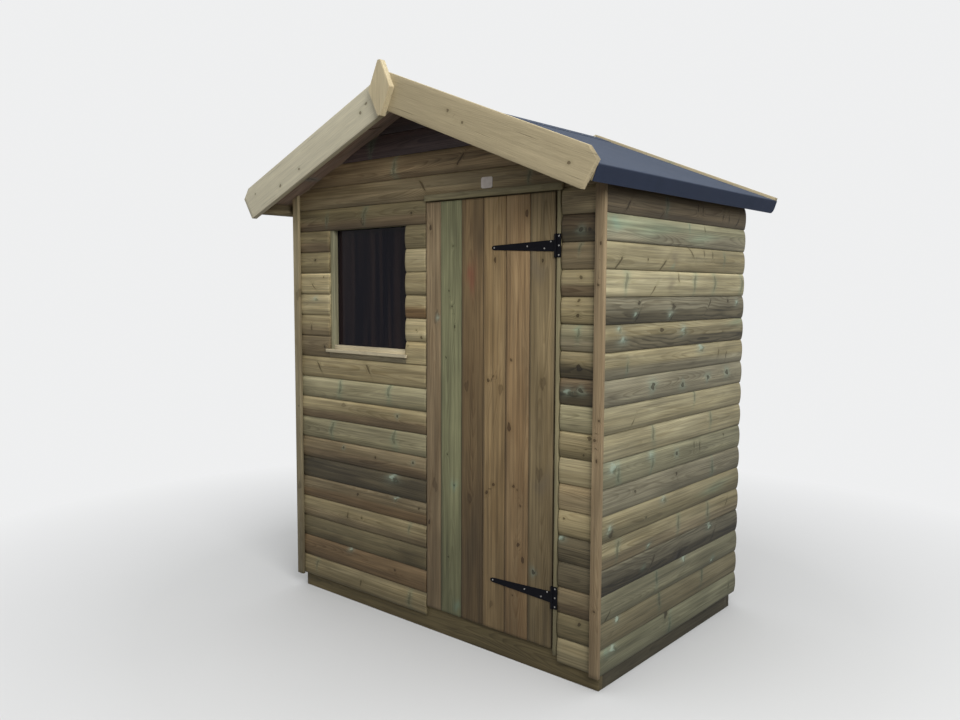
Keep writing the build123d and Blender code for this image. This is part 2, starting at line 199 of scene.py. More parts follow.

# How light timber is at each height: darker towards the ground, partly from damp and splashes and partly as
# painted shade where less sky reaches low down. The door's and the left front batten's tables rise above 1
# near the top as painted light.
DAMP_AND_PAINTED_SHADE = ((0.0, 0.66), (0.12, 0.72), (0.35, 0.82), (0.7, 0.92), (1.1, 1.0))
DOOR_DAMP_AND_PAINTED_LIGHT = ((0.1, 0.50), (0.4, 0.60), (0.7, 0.78), (1.0, 0.92), (1.3, 1.0), (1.6, 1.06), (1.9, 1.10))
BATTEN_DAMP_AND_PAINTED_LIGHT = ((0.1, 0.50), (0.7, 0.74), (1.2, 0.95), (1.5, 1.35), (1.9, 1.8))

# The sockets of a mix node that deal in colours, by number, since their names repeat
MIX_FACTOR = 0
MIX_FIRST = 6
MIX_SECOND = 7
MIX_RESULT = 2


class Value:
    """What one output of a node gives. Arithmetic on it makes math nodes."""

    def __init__(self, graph, socket):
        self.graph = graph
        self.socket = socket

    def __add__(self, other):
        return self.graph.math("ADD", self, other)

    def __sub__(self, other):
        return self.graph.math("SUBTRACT", self, other)

    def __mul__(self, other):
        return self.graph.math("MULTIPLY", self, other)

    def __truediv__(self, other):
        return self.graph.math("DIVIDE", self, other)

    def clamped(self):
        """A math node's result, held between 0 and 1."""
        self.socket.node.use_clamp = True
        return self


class Graph:
    """The node tree of a material or of the world, with one short call for each node."""

    def __init__(self, owner, shader="Principled BSDF"):
        self.owner = owner
        owner.use_nodes = True
        self.tree = owner.node_tree
        self.shader = self.tree.nodes[shader]

    def node(self, kind, output, inputs=None, **settings):
        """What one output of a new node gives."""
        made = self.tree.nodes.new(kind)
        for name, value in settings.items():
            setattr(made, name, value)
        for key, value in (inputs or {}).items():
            self.put(made.inputs[key], value)
        return Value(self, made.outputs[output])

    def put(self, socket, value):
        """Links a value to a socket, or sets the socket to a number or a colour."""
        if isinstance(value, Value):
            self.tree.links.new(value.socket, socket)
        elif socket.type == "RGBA":
            socket.default_value = (*value, 1.0)
        else:
            socket.default_value = value

    def set(self, name, value):
        self.put(self.shader.inputs[name], value)

    def math(self, operation, a, b=0.0):
        return self.node("ShaderNodeMath", 0, {0: a, 1: b}, operation=operation)

    def scaled(self, vector, scale):
        return self.node("ShaderNodeVectorMath", 0, {0: vector, 1: scale}, operation="MULTIPLY")

    def mix(self, factor, first, second, blend="MIX"):
        inputs = {MIX_FACTOR: factor, MIX_FIRST: first, MIX_SECOND: second}
        return self.node("ShaderNodeMix", MIX_RESULT, inputs, data_type="RGBA", blend_type=blend)

    def shade(self, colour, by):
        """A colour multiplied by another."""
        return self.mix(1.0, colour, by, "MULTIPLY")

    def ramp(self, factor, *stops):
        """A grey ramp through (position, value) stops."""
        made = self.node("ShaderNodeValToRGB", 0, {0: factor})
        elements = made.socket.node.color_ramp.elements
        while len(elements) < len(stops):
            elements.new(0.5)
        for element, (position, value) in zip(elements, stops):
            element.position = position
            element.color = (value, value, value, 1.0)
        return made

    def noise(self, vector, detail, scale=1.0, distortion=0.0):
        inputs = {"Vector": vector, "Scale": scale, "Detail": detail, "Distortion": distortion}
        return self.node("ShaderNodeTexNoise", "Fac", inputs)

    def far(self, a, b):
        """The length of a vector with these two parts."""
        flat = self.node("ShaderNodeCombineXYZ", 0, {0: a, 1: b})
        return self.node("ShaderNodeVectorMath", "Value", {0: flat}, operation="LENGTH")

    def attribute(self, name, output):
        return self.node("ShaderNodeAttribute", output, attribute_name=name)

    def place(self, kind="Object"):
        return self.node("ShaderNodeTexCoord", kind)

    def split(self, vector):
        """The three parts of a vector."""
        made = self.node("ShaderNodeSeparateXYZ", 0, {0: vector}).socket.node
        return [Value(self, output) for output in made.outputs]

    def look(self, colour, rough, specular=0.5):
        self.set("Base Color", colour)
        self.set("Roughness", rough)
        self.set("Specular IOR Level", specular)

    def bump(self, height, distance, strength):
        inputs = {"Height": height, "Distance": distance, "Strength": strength}
        self.set("Normal", self.node("ShaderNodeBump", 0, inputs))


def surface(name):
    """The graph of a new material."""
    return Graph(bpy.data.materials.new(name))


def wood(name, ring=0.0048, ring_weight=0.55, blotch_weight=0.5, bands=0.18, rough=0.66, saw_marks=0.0):
    """Treated softwood that takes its grain direction, tones and knots from the boards' own attributes."""
    g = surface(name)
    grain = g.attribute("grain", "Vector")
    tone = g.attribute("tone", "Color")
    figure = g.attribute("tone", "Alpha")
    streak = g.attribute("streak", "Color")
    along, across, out = g.split(grain)
    knot_along, knot_across, mask = g.split(g.attribute("knot", "Vector"))
    knot_mask = g.math("MAXIMUM", mask, 0.0)
    chip_mask = g.math("MAXIMUM", mask * -1.0, 0.0)

    def texture(lengthways, crossways, detail=2.0, distortion=0.0):
        """Noise with this many changes in a metre along the grain and across it."""
        return g.noise(g.scaled(grain, (lengthways, crossways, crossways)), detail, distortion=distortion)

    # Distance from the heart of the log, which wanders along each board
    inputs = {"W": along, "Scale": 0.8, "Detail": 1.0}
    wander = g.node("ShaderNodeTexNoise", "Color", inputs, noise_dimensions="1D")
    heart_across, heart_depth = g.split(wander)[:2]
    wave = (texture(3.0, 24.0) - 0.5) * (figure * FIGURE_WAVE + RING_WAVE)
    uneven = texture(40.0, 90.0) - 0.5
    knot_far = g.far(knot_along, knot_across) + uneven * 0.9
    swirl = g.math("POWER", math.e, knot_far * -0.55) * g.math("ABSOLUTE", mask) * KNOT_SWIRL
    radius = g.far(across - (heart_across - 0.5) * HEART_SWAY, out - heart_depth * HEART_DEPTH) + wave + swirl

    # Late wood lines, stronger in some places than in others
    turn = g.math("FRACT", radius / ((figure * 1.6 + 1.0) * ring))
    late = g.ramp(turn, (0.0, 0.0), (0.45, 0.12), (0.84, 1.0), (0.93, 0.85), (1.0, 0.0))
    late = late * g.ramp(texture(1.4, 9.0, 3.0), (0.30, 0.15), (0.62, 1.0)) * (figure * 0.8 + 1.0)
    blotch = g.ramp(texture(2.2, 17.0, 3.0, 0.5), (0.36, 0.0), (0.66, 1.0))
    colour = g.mix((late * ring_weight + blotch * blotch_weight).clamped(), tone, streak)

    # Stripes, broad bands and fine lines, then splits along the grain
    fibre = texture(9.0, 420.0)
    split = g.ramp(texture(3.2, 150.0, 1.0), (0.68, 0.0), (0.73, 1.0))
    colour = g.shade(colour, g.ramp(texture(0.9, 40.0), (0.34, 1 - bands), (0.66, 1 + bands)))
    colour = g.shade(colour, g.ramp(texture(3.5, 9.0), (0.34, 1 - bands / 2), (0.66, 1 + bands / 2)))
    colour = g.shade(colour, g.ramp(texture(2.4, 120.0), (0.36, 1 - bands * 0.8), (0.64, 1 + bands * 0.6)))
    colour = g.shade(colour, g.ramp(fibre, (0.25, 0.84), (0.75, 1.12)))
    colour = g.mix(split * 0.5, colour, g.shade(streak, (0.42, 0.42, 0.42)))

    # Knots: a darker halo, a dark rim, and a brown heart
    halo = (g.ramp(knot_far / 4.0, (0.25, 0.45), (0.9, 0.0)) * knot_mask).clamped()
    core = (g.ramp(knot_far / 2.0, (0.0, 0.95), (0.26, 0.80), (0.46, 1.0), (0.62, 0.0)) * knot_mask).clamped()
    colour = g.mix(halo, colour, g.shade(streak, (0.78, 0.80, 0.74)))
    colour = g.mix(core, colour, g.shade(streak, (0.24, 0.20, 0.16)))

    # Chips torn out round a knot: a pale core beside a dark crescent, which is painted shade in the hollow on
    # one side
    beside = g.far(knot_along - 0.9, knot_across + 0.7) + uneven * 1.6
    hollow_shade = g.ramp(beside / 2.0, (0.0, 0.9), (0.45, 0.6), (0.62, 0.0)) * chip_mask
    ragged = knot_far + uneven * 2.4
    torn = g.ramp(ragged / 2.0, (0.0, 0.9), (0.30, 0.7), (0.62, 0.0)) * chip_mask
    colour = g.mix(hollow_shade, colour, g.shade(streak, (0.42, 0.46, 0.40)))
    colour = g.mix(torn, colour, PALE)
    g.look(colour, (fibre - 0.5) * 0.22 + rough, 0.32)

    height = late * 0.35 + fibre * 0.45 - split * 0.8 - (core + hollow_shade) * 0.5
    if saw_marks:
        height = height + texture(260.0, 7.0, 1.0) * saw_marks
    g.bump(height, 0.0009, 0.6)
    return g.owner


def felt_material():
    """Mineral felt: slate blue grit, streaked down the slope, with painted shade, darker and bluer, on the
    fold over the eaves.
    """
    g = surface("felt")
    place = g.place()
    streaks = g.noise(g.scaled(place, (5.0, 34.0, 5.0)), 3.0)
    patch = g.noise(place, 4.0, 6.0)
    grit = g.noise(place, 2.0, 900.0)
    colour = g.mix(g.ramp(streaks, (0.35, 0.0), (0.68, 1.0)), srgb(47, 52, 65), srgb(56, 62, 77))
    colour = g.mix(g.ramp(patch, (0.42, 0.0), (0.72, 0.6)), colour, srgb(59, 63, 74))
    colour = g.mix(g.ramp(grit, (0.54, 0.0), (0.72, 0.45)), colour, srgb(104, 111, 127))
    on_slope = ((g.split(place)[2] - FOLD_TOP) / FOLD_FADE).clamped()
    colour = g.mix(on_slope, g.shade(colour, FOLD_PAINTED_SHADE), colour)
    g.look(colour, grit * 0.2 + 0.76, 0.58)
    # A painted blue sky tint on the sheen
    g.set("Specular Tint", (0.52, 0.72, 1.0))
    g.bump(grit + patch * 2.0, 0.0016, 0.6)
    return g.owner


def metal_material(name, colour, worn, rough, metallic):
    """Coated or plated steel with scuffs."""
    g = surface(name)
    scuff = g.noise(g.place(), 4.0, 70.0)
    g.look(g.mix(g.ramp(scuff, (0.58, 0.0), (0.74, 0.8)), colour, worn), scuff * 0.3 + rough, 0.12)
    g.set("Metallic", metallic)
    g.bump(g.noise(g.place(), 2.0, 600.0), 0.0002, 0.5)
    return g.owner


def glass_material():
    """A pane over a dark room, painted near black as painted shade of the room, with faint upright streaks
    that are partly dirt and partly painted reflection.
    """
    g = surface("window_glass")
    dirt = g.ramp(g.noise(g.scaled(g.place(), (26.0, 1.0, 1.1)), 3.0), (0.40, 0.0), (0.66, 1.0))
    g.look(g.mix(dirt, srgb(5, 4, 20), srgb(42, 32, 34)), dirt * 0.10 + 0.03, 0.10)
    g.set("Alpha", 0.86)
    return g.owner


def plate_material():
    """Off-white plastic, slightly soiled."""
    g = surface("bare_plate")
    soil = g.noise(g.place(), 4.0, 45.0)
    colour = g.mix(g.ramp(soil, (0.40, 0.0), (0.75, 1.0)), srgb(228, 218, 210), srgb(202, 190, 180))
    g.look(colour, soil * 0.2 + 0.38)
    g.bump(soil, 0.0003, 0.4)
    return g.owner


SURFACES = {
    "cladding": wood("cladding_wood", ring_weight=0.65, blotch_weight=0.6, bands=0.24),
    "treated_wood": wood("treated_wood", ring=0.0040, blotch_weight=0.4),
    "door_wood": wood("door_wood", ring=0.0052, ring_weight=0.6, blotch_weight=0.55, bands=0.22),
    "trim_wood": wood("trim_wood", ring=0.0044, ring_weight=0.3, blotch_weight=0.25, bands=0.05),
    "framing": wood("framing_wood", ring=0.0042, rough=0.76, saw_marks=0.5),
    "base_wood": wood("base_wood", ring=0.0042, rough=0.78, saw_marks=0.5),
    "roof_wood": wood("roof_wood", ring=0.0046, rough=0.72),
    "felt": felt_material(),
    "black_metal": metal_material("black_metal", srgb(8, 8, 14), srgb(24, 23, 29), 0.60, 0.0),
    "zinc": metal_material("zinc_screws", srgb(150, 148, 144), srgb(104, 100, 94), 0.30, 1.0),
    "glass": glass_material(),
    "plate": plate_material(),
}


def paint(piece, surface_name):
    piece.data.materials.clear()
    piece.data.materials.append(SURFACES[surface_name])


def make_piece(name, points, faces, surface_name, body, slot, replaced=(), layers=None):
    """A finished piece with smooth faces and sharp corners, which stands for the replaced nodes."""
    mesh = bpy.data.meshes.new(name)
    mesh.from_pydata(points, [], faces)
    for layer, rows in (layers or {}).items():
        kind, field = ("FLOAT_VECTOR", "vector") if len(rows[0]) == 3 else ("FLOAT_COLOR", "color")
        mesh.attributes.new(layer, kind, "POINT").data.foreach_set(field, [c for row in rows for c in row])
    made = bmesh.new()
    made.from_mesh(mesh)
    bmesh.ops.recalc_face_normals(made, faces=made.faces)
    made.to_mesh(mesh)
    made.free()
    mesh.polygons.foreach_set("use_smooth", [True] * len(mesh.polygons))
    mesh.set_sharp_from_angle(angle=SHARP_ANGLE)
    piece = bpy.data.objects.new(name, mesh)
    bpy.context.scene.collection.objects.link(piece)
    paint(piece, surface_name)
    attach(piece, body)
    if replaced:
        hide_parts(*replaced)


def tube_faces(base, rings, count):
    """Faces between closed rings of this many points each, and over the first ring and the last."""
    faces = []
    last = base + (rings - 1) * count
    for start in range(base, last, count):
        for k in range(count):
            a, b = start + k, start + (k + 1) % count
            faces.append((a, b, b + count, a + count))
    return faces + [tuple(range(base, base + count)), tuple(range(last, last + count))]


def clamp(value):
    return min(max(value, 0.0), 1.0)


def bell(x):
    """A smooth hump: 1 at 0, and nearly 0 past 2."""
    return math.exp(-x * x)


def lerp(a, b, share):
    return tuple(p + (q - p) * share for p, q in zip(a, b))


def steps(stops, place):
    """The value at a place between (place, value) stops."""
    for (a, p), (b, q) in zip(stops, stops[1:]):
        if place <= b:
            return p + (q - p) * max(place - a, 0.0) / (b - a)
    return stops[-1][1]


def places_between(low, high, step):
    count = max(1, round((high - low) / step))
    return [low + (high - low) * k / count for k in range(count + 1)]


Axes = namedtuple("Axes", "origin along across out")


def eased_section(width, thickness, step=COARSE):
    """A planed board's section, across 0 to its width and out from 0 to minus its thickness."""
    face = places_between(EASE, width - EASE, step)
    third = EASE * 0.3
    edge = [(0.0, -EASE), (third, -third)]
    under = [(third, third - thickness), (0.0, EASE - thickness)]
    far_edge = [(width - a, o) for a, o in reversed(under + edge)]
    return [(a, 0.0) for a in face] + far_edge + [(a, -thickness) for a in reversed(face)] + under + edge


# The log-lap face, in millimetres up from the board's lower edge and in from its crest
LAP_FACE = ((0.8, 12.0), (0.8, 7.2), (1.6, 6.3), (6.0, 5.0), (15.0, 2.9), (27.0, 1.1), (39.0, 0.25),
            (51.0, 0.0), (63.0, 0.35), (74.0, 1.4), (84.0, 3.1), (92.0, 5.2), (98.0, 7.6), (101.5, 10.2),
            (103.2, 12.0))
LAP_TONGUE = 0.0013
LAP_TONGUE_FACE = 0.0125


def lap_section(high):
    """A log-lap board's section up to a height, measured from the board's own lower edge."""
    face = [(a / 1000, -o / 1000) for a, o in LAP_FACE]
    kept = [point for point in face if point[0] < high] + [(high, steps(face, high))]
    low, back = kept[0][0], -CLAD_THICKNESS
    tongue = low - LAP_TONGUE
    return kept + [(high, back), ((low + high) / 2, back), (tongue, back), (tongue, -LAP_TONGUE_FACE)]


# The height on a board, as a share of its width, where its lower tone gives way to its upper one
TONE_CHANGE = (0.40, 0.54)
# How many of its own half sizes a knot reaches, over how many it fades out, and by how many it must be nearer
# than the next knot to show in full. Where there is none, the distance is a very long one
KNOT_REACH = 9.0
KNOT_FADE = 3.0
KNOT_LEAD = 2.5
NO_KNOT = 1e9


def wood_at(s, across, height, width, tones, marks):
    """Tone, streak, knot coordinates and relief at one point of a board, across measured from its middle."""
    upper, lower = tones
    change = clamp((height - TONE_CHANGE[0]) / (TONE_CHANGE[1] - TONE_CHANGE[0]))
    tone, streak = (lerp(TONES[lower][k], TONES[upper][k], change) for k in (0, 1))
    relief = 0.0
    near, nearest, second = (KNOT_REACH, KNOT_REACH, 0.0), NO_KNOT, NO_KNOT
    for kind, place, share, size, lean, bow in marks:
        mark = MARKS[kind]
        # Each mark leans and bows a little in its own way, tapers, and has an uneven outline
        aside = across - (share - 0.5) * width
        slant = (mark.slant + 0.12 * lean) * aside + 5.0 * bow * aside * aside
        v = aside / (mark.across * size)
        taper = 1.0 + 0.5 * lean * max(-1.0, min(v, 1.0))
        wave = 0.45 * math.sin(3.0 * v + 4.0 * bow)
        u = (s - place - slant) / (mark.along * size * taper) + wave
        far = math.hypot(u, v)
        if mark.knot and far < nearest:
            near, nearest, second = (u, v, mark.knot), far, nearest
        elif mark.knot:
            second = min(second, far)
        if mark.paint and far < 4 * mark.reach:
            weight = min(mark.weight * bell(far / mark.reach), 1.0)
            tone = lerp(tone, mark.paint, weight)
            streak = lerp(streak, mark.paint, weight * 0.7)
        if mark.relief and far < 4:
            relief += mark.relief * bell(far)
    fade = clamp((KNOT_REACH - nearest) / KNOT_FADE) * clamp((second - nearest) / KNOT_LEAD)
    return tone, streak, (near[0], near[1], near[2] * fade), relief


class Timbers:
    """Boards collected into one piece, each with its own grain, tones and knots."""

    def __init__(self, name, seed):
        self.name = name
        self.random = random.Random(seed)
        self.points, self.faces = [], []
        self.layers = {"grain": [], "knot": [], "tone": [], "streak": []}

    def add(self, point, grain, knot, tone, streak, figure=0.0):
        """One point, with what the wood is like there."""
        self.points.append(point)
        self.layers["grain"].append(grain)
        self.layers["knot"].append(knot)
        self.layers["tone"].append((*tone, figure))
        self.layers["streak"].append((*streak, 1.0))

    def board(self, axes, section, start, end, tone, marks=(), light=None, step=COARSE, dirt=EVEN, shade=EVEN,
              wobble=0.0004, tint=(1.0, 1.0, 1.0)):
        """One board. start and end are distances along it, or functions of the place across it.

        A tone is one name, or the upper half's and the lower half's with a bar between; a star is wavy grain.
        """
        draw = self.random
        shift = draw.uniform(0.0, 60.0)
        bend = draw.uniform(-wobble, wobble)
        spread = draw.uniform(0.95, 1.05)
        light = spread if light is None else light
        figure = 1.0 if "*" in tone else 0.0
        tones = (tone.strip("*").split("|") * 2)[:2]
        marks = [(*mark, draw.uniform(-1.0, 1.0), draw.uniform(-1.0, 1.0)) for mark in marks]
        first = start if callable(start) else lambda a: start
        last = end if callable(end) else lambda a: end
        low, width = min(section)[0], max(section)[0] - min(section)[0]
        middle, deep = low + width / 2, min(o for a, o in section)
        count = max(2, round(max(last(a) - first(a) for a, o in section) / step))
        stations = [(0.0, 0.0, EASE), (0.0, EASE, 0.0)]
        stations += [(k / count, 0.0, 0.0) for k in range(1, count)]
        stations += [(1.0, -EASE, 0.0), (1.0, 0.0, EASE)]
        self.faces += tube_faces(len(self.points), len(stations), len(section))
        for share, inward, shrink in stations:
            for a, o in section:
                begin = first(a)
                length = max(last(a) - begin, 3 * EASE)
                s = begin + length * share + inward
                height = (a - low) / width
                wavy = height + 0.05 * math.sin(2.3 * s + shift) + 0.03 * math.sin(7.1 * s + 2 * shift)
                *colours, knot, relief = wood_at(s, a - middle, wavy, width, tones, marks)
                lift = bend * math.sin(math.pi * share) + (relief if o > deep / 2 else 0.0)
                across = a + (middle - a) * shrink / (width / 2) + lift * 0.5
                out = o + (deep / 2 - o) * shrink / (-deep / 2) + lift
                point = axes.origin + axes.along * s + axes.across * across + axes.out * out
                # Painted light and shade go into the colour here: the board's light, which is painted shade
                # on the boards under the eaves, times the height table, which is partly damp and partly
                # painted light, times the painted light and shade across the board
                level = light * steps(dirt, point.z) * steps(shade, height)
                colours = [[c * t * level for c, t in zip(colour, tint)] for colour in colours]
                self.add(point, (s + shift, a - middle, o), knot, *colours, figure)

    def finish(self, slot, *replaced, body="shed"):
        make_piece(self.name, self.points, self.faces, slot, body, slot, replaced, self.layers)


def solids(node):
    """Lowest and highest corner of each separate solid in a node."""
    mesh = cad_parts[node].data
    keys = [tuple(round(c, 5) for c in v.co) for v in mesh.vertices]
    group = {key: key for key in keys}

    def root(key):
        while group[key] != key:
            group[key] = group[group[key]]
            key = group[key]
        return key

    for polygon in mesh.polygons:
        corners = [root(keys[v]) for v in polygon.vertices]
        for corner in corners[1:]:
            group[root(corner)] = root(corners[0])
    boxes = {}
    for key in keys:
        boxes.setdefault(root(key), []).append(key)
    found = [(Vector(map(min, zip(*points))), Vector(map(max, zip(*points)))) for points in boxes.values()]
    return sorted(found, key=lambda pair: tuple(pair[0]))


def stick(timbers, low, high, tone, **options):
    """A straight timber that fills a box, its grain along the longest side."""
    size = high - low
    thin, wide, long = sorted(range(3), key=lambda k: size[k])
    origin = Vector(low)
    origin[thin] = high[thin]
    origin[long] = 0.0
    axes = Axes(origin, UNITS[long], UNITS[wide], UNITS[thin])
    timbers.board(axes, eased_section(size[wide], size[thin]), low[long], high[long], tone, **options)


def sticks(node, slot, seed, tones, body="shed", **options):
    """Stands for a node of straight timbers, each with eased edges and its own wood."""
    timbers = Timbers(node + "_timber", seed)
    for k, (low, high) in enumerate(solids(node)):
        stick(timbers, low, high, tones[k % len(tones)], **options)
    timbers.finish(slot, node, body=body)


def read_marks(text):
    """Marks with commas between: a kind, its place along the board, its share of the width and its size."""
    marks = [mark.split() for mark in text.split(",") if mark.strip()]
    return [(kind, *map(float, numbers)) for kind, *numbers in marks]


def read_boards(text):
    """Boards with semicolons between: a tone, how light it is, a colon and the marks."""
    boards = []
    for board in text.split(";"):
        head, marks = board.split(":")
        tone, light = head.split()
        boards.append((tone, float(light), read_marks(marks)))
    return boards


def random_marks(draw, start, end, spacing=0.4, kinds=HIDDEN_KINDS):
    """Knots for a board that the photograph doesn't show."""
    made = []
    place = start + draw.uniform(0.3, 1.0) * spacing
    while place < end:
        kind = draw.choice(kinds)
        share = 0.5 if kind == "bar" else draw.uniform(0.15, 0.85)
        made.append((kind, place, share, draw.uniform(0.55, 1.05)))
        place += draw.uniform(0.5, 1.6) * spacing
    return made


# The right wall's boards from the lowest up, with distances from the front. The top board's brown tone and
# low light are painted shade under the eaves.
SIDE_BOARDS = read_boards("""
    moss 0.80: teal 0.047 0.82 0.9, chip 0.09 0.86 0.8, notch 0.518 0.9 1, bar 0.545 0.4 0.8,
        tick 1.13 0.5 1;
    straw 0.50: chip 0.12 0.88 0.6, bar 0.453 0.75 0.8, bar 0.848 0.8 0.8;
    sage 0.70: slash 0.049 0.2 0.8, bar 0.426 0.7 0.7, chip 0.669 0.92 0.7, teal 0.955 0.27 0.8,
        chip 0.94 0.2 0.5;
    driftwood|umber* 0.50: teal 0.313 0.45 0.8, slash 0.385 0.5 0.9, notch 0.611 0.2 1.3,
        chip 0.908 0.85 0.8, slash 0.948 0.4 0.7, slash 0.6 0.3 1;
    straw|tan 0.75: bar 0.111 0.6 0.8, teal 0.353 0.16 0.7, chip 0.35 0.2 0.5, bar 0.603 0.6 0.8,
        bar 0.885 0.6 0.8, slash 1.08 0.6 0.6;
    straw|olive 0.70: notch 0.064 0.3 1, chip 0.05 0.5 0.8, chip 0.472 0.85 0.7, dot 0.326 0.4 1,
        wash 0.963 0.5 1;
    driftwood 0.85: dot 0.237 0.58 1.4, knot 0.576 0.72 0.6, bar 0.919 0.5 0.8;
    sage 0.85: chip 0.069 0.74 1.1, bar 0.108 0.45 0.8, chip 0.359 0.8 0.7, bar 0.37 0.5 0.8,
        ring 0.577 0.58 1, tick 0.736 0.7 1, tick 0.788 0.6 1.2, dot 1.033 0.78 1.2;
    cream 0.75: bar 0.37 0.7 0.8, bar 0.893 0.7 0.7;
    cream 0.75: slash 0.21 0.3 0.5, bar 0.732 0.8 0.6;
    driftwood 0.90: shade 0.06 0.3 1, ring 0.359 0.52 1.5, ring 0.614 0.4 1.2, ring 0.849 0.5 1.2,
        ring 1.045 0.6 1.4;
    straw|driftwood 0.85: bar 0.16 0.4 0.5, chip 0.78 0.86 0.9, tick 0.952 0.55 1, tick 1.031 0.4 1,
        shade 0.693 0.25 0.5;
    straw|slate* 0.80: chip 0.099 0.85 0.6, chip 0.124 0.46 0.8, chip 0.61 0.66 0.9, wash 1.16 0.84 0.7,
        slash 0.14 0.3 0.5, long 0.42 0.7 0.9;
    driftwood|slate* 0.80: knot 0.242 0.78 0.8, chip 0.206 0.35 0.5, knot 0.518 0.6 1.1, chip 0.491 0.3 0.7,
        slash 0.5 0.1 0.6, slash 0.23 0.25 0.6, slash 0.854 0.72 0.7, knot 1.041 0.8 0.7,
        chip 1.132 0.72 0.6;
    cream 1.00: bar 0.141 0.55 0.9, slash 0.35 0.25 0.7, grey 0.492 0.48 0.6, tick 0.56 0.75 1.2,
        bar 0.705 0.56 0.9, bar 0.898 0.55 0.9, bar 1.185 0.5 1;
    straw 0.85: slash 0.085 0.2 1, dot 0.299 0.41 1, slash 0.42 0.2 0.9, grey 0.523 0.5 0.7,
        teal 0.51 0.2 0.7, back 0.668 0.82 0.8, tick 0.79 0.8 1, tick 0.87 0.75 1, bar 0.99 0.6 0.5;
    sage|driftwood 1.10: wash 0.06 0.66 1, teal 0.06 0.66 1.6, wash 0.34 0.55 1.3, wash 0.75 0.4 1,
        bar 0.647 0.8 0.4, tick 0.79 0.8 0.8;
    brown 0.65: slash 0.149 0.36 0.8, bar 0.449 0.6 0.7, slash 0.41 0.15 0.6, tick 0.72 0.65 1,
        tick 0.764 0.6 1, tick 0.963 0.4 1, tick 1.026 0.4 1, slash 1.12 0.3 0.8;
    brown 1.00:
""")

# The front wall's boards from the lowest up, with distances from the middle, and those round the window
FRONT_BOARDS = read_boards("""
    straw 0.85: bar -0.781 0.65 0.5, tick -0.446 0.45 1, bar -0.112 0.5 0.8;
    orange 0.80: chip -0.523 0.92 0.6, dot -0.203 0.6 1.2;
    olive 0.60: shade -0.101 0.5 1.2, shade -0.62 0.28 0.8;
    straw|tan 0.80: tick -0.538 0.56 1.2, dot -0.436 0.6 1, bar -0.111 0.7 0.4;
    tan|orange 0.70: knot -0.463 0.68 0.6, chip -0.201 0.9 0.6, dot -0.05 0.7 1;
    slate 0.55: chip -0.22 0.86 1.1, shade -0.512 0.45 1.2;
    tan|brown 0.80: ring -0.567 0.77 0.6, knot -0.335 0.59 0.5, ring -0.085 0.69 0.6;
    sage 1.00: bar -0.653 0.55 0.9, bar -0.209 0.7 0.9;
    straw|brown 0.95: soft -0.564 0.82 0.6, ring -0.183 0.64 0.7;
    sage 1.10: bar -0.585 0.65 0.9, bar -0.242 0.75 0.9;
    straw 0.85: back -0.74 0.5 0.9, back -0.38 0.6 0.9
""")
LEFT_OF_WINDOW = read_boards("""
    tan 0.65: knot -0.7 0.5 0.6;
    straw|tan 0.95: tick -0.8 0.4 1;
    cream 1.05: chip -0.772 0.8 0.6;
    cream 1.30: dot -0.704 0.81 1, back -0.782 0.4 0.6;
    olive 1.05: knot -0.762 0.62 0.6;
    olive|brown 1.05:
""")
RIGHT_OF_WINDOW = read_boards("""
    straw 1.35: dot -0.116 0.8 0.8;
    cream 1.15: knot -0.032 0.2 0.6, dot -0.06 0.5 0.8;
    straw|amber 1.05:;
    straw 0.85:;
    cream 0.90:;
    olive 0.85:
""")
OVER_WINDOW = read_boards("""
    olive|brown 0.85: bar -0.401 0.6 0.8, back -0.412 0.15 0.7, knot -0.091 0.5 0.5, bar -0.672 0.44 0.5
""")[0]
UNDER_WINDOW = ("driftwood", None, ())

# The gable's boards over the door and window, whose upper ones are painted shade under the roof's overhang,
# then those right of the door, whose top ones carry painted shade too
GABLE_BOARDS = read_boards("""
    tan 0.95: back -0.02 0.6 0.9, bar 0.56 0.5 0.6;
    brown 1.70: bar -0.2 0.5 0.8, slash 0.2 0.5 0.9;
    dusk 1.25: bar -0.35 0.5 0.8;
    dusk 0.80: grey 0.04 0.5 1;
    dusk 0.80:
""")
PIER_BOARDS = read_boards("""
    cream 0.70:;
    olive 0.70: knot 0.82 0.77 0.6;
    tan|brown 0.65:;
    slate 0.85: shade 0.78 0.5 0.7;
    slate 0.85: chip 0.728 0.95 0.6;
    straw 1.00: dot 0.745 0.69 1;
    tan 1.20:;
    cream 0.85:;
    straw|olive 0.90: knot 0.854 0.85 0.7, dot 0.83 0.2 1;
    sage 1.25: shade 0.8 0.3 0.5;
    brown|umber* 0.75: ring 0.814 0.59 1, chip 0.753 0.5 0.7;
    straw|umber* 0.75: knot 0.806 0.42 1.1;
    sage|driftwood 0.90: bar 0.8 0.7 0.5, teal 0.79 0.8 0.6;
    straw|olive 0.95: knot 0.799 0.87 0.5, knot 0.796 0.33 0.6;
    straw|brown 0.85: dot 0.807 0.71 1.4;
    tan 0.60: bar 0.8 0.8 0.4;
    brown|umber* 0.55: ring 0.808 0.43 1, knot 0.841 0.42 0.6;
    slate 2.20: shade 0.8 0.5 2
""")

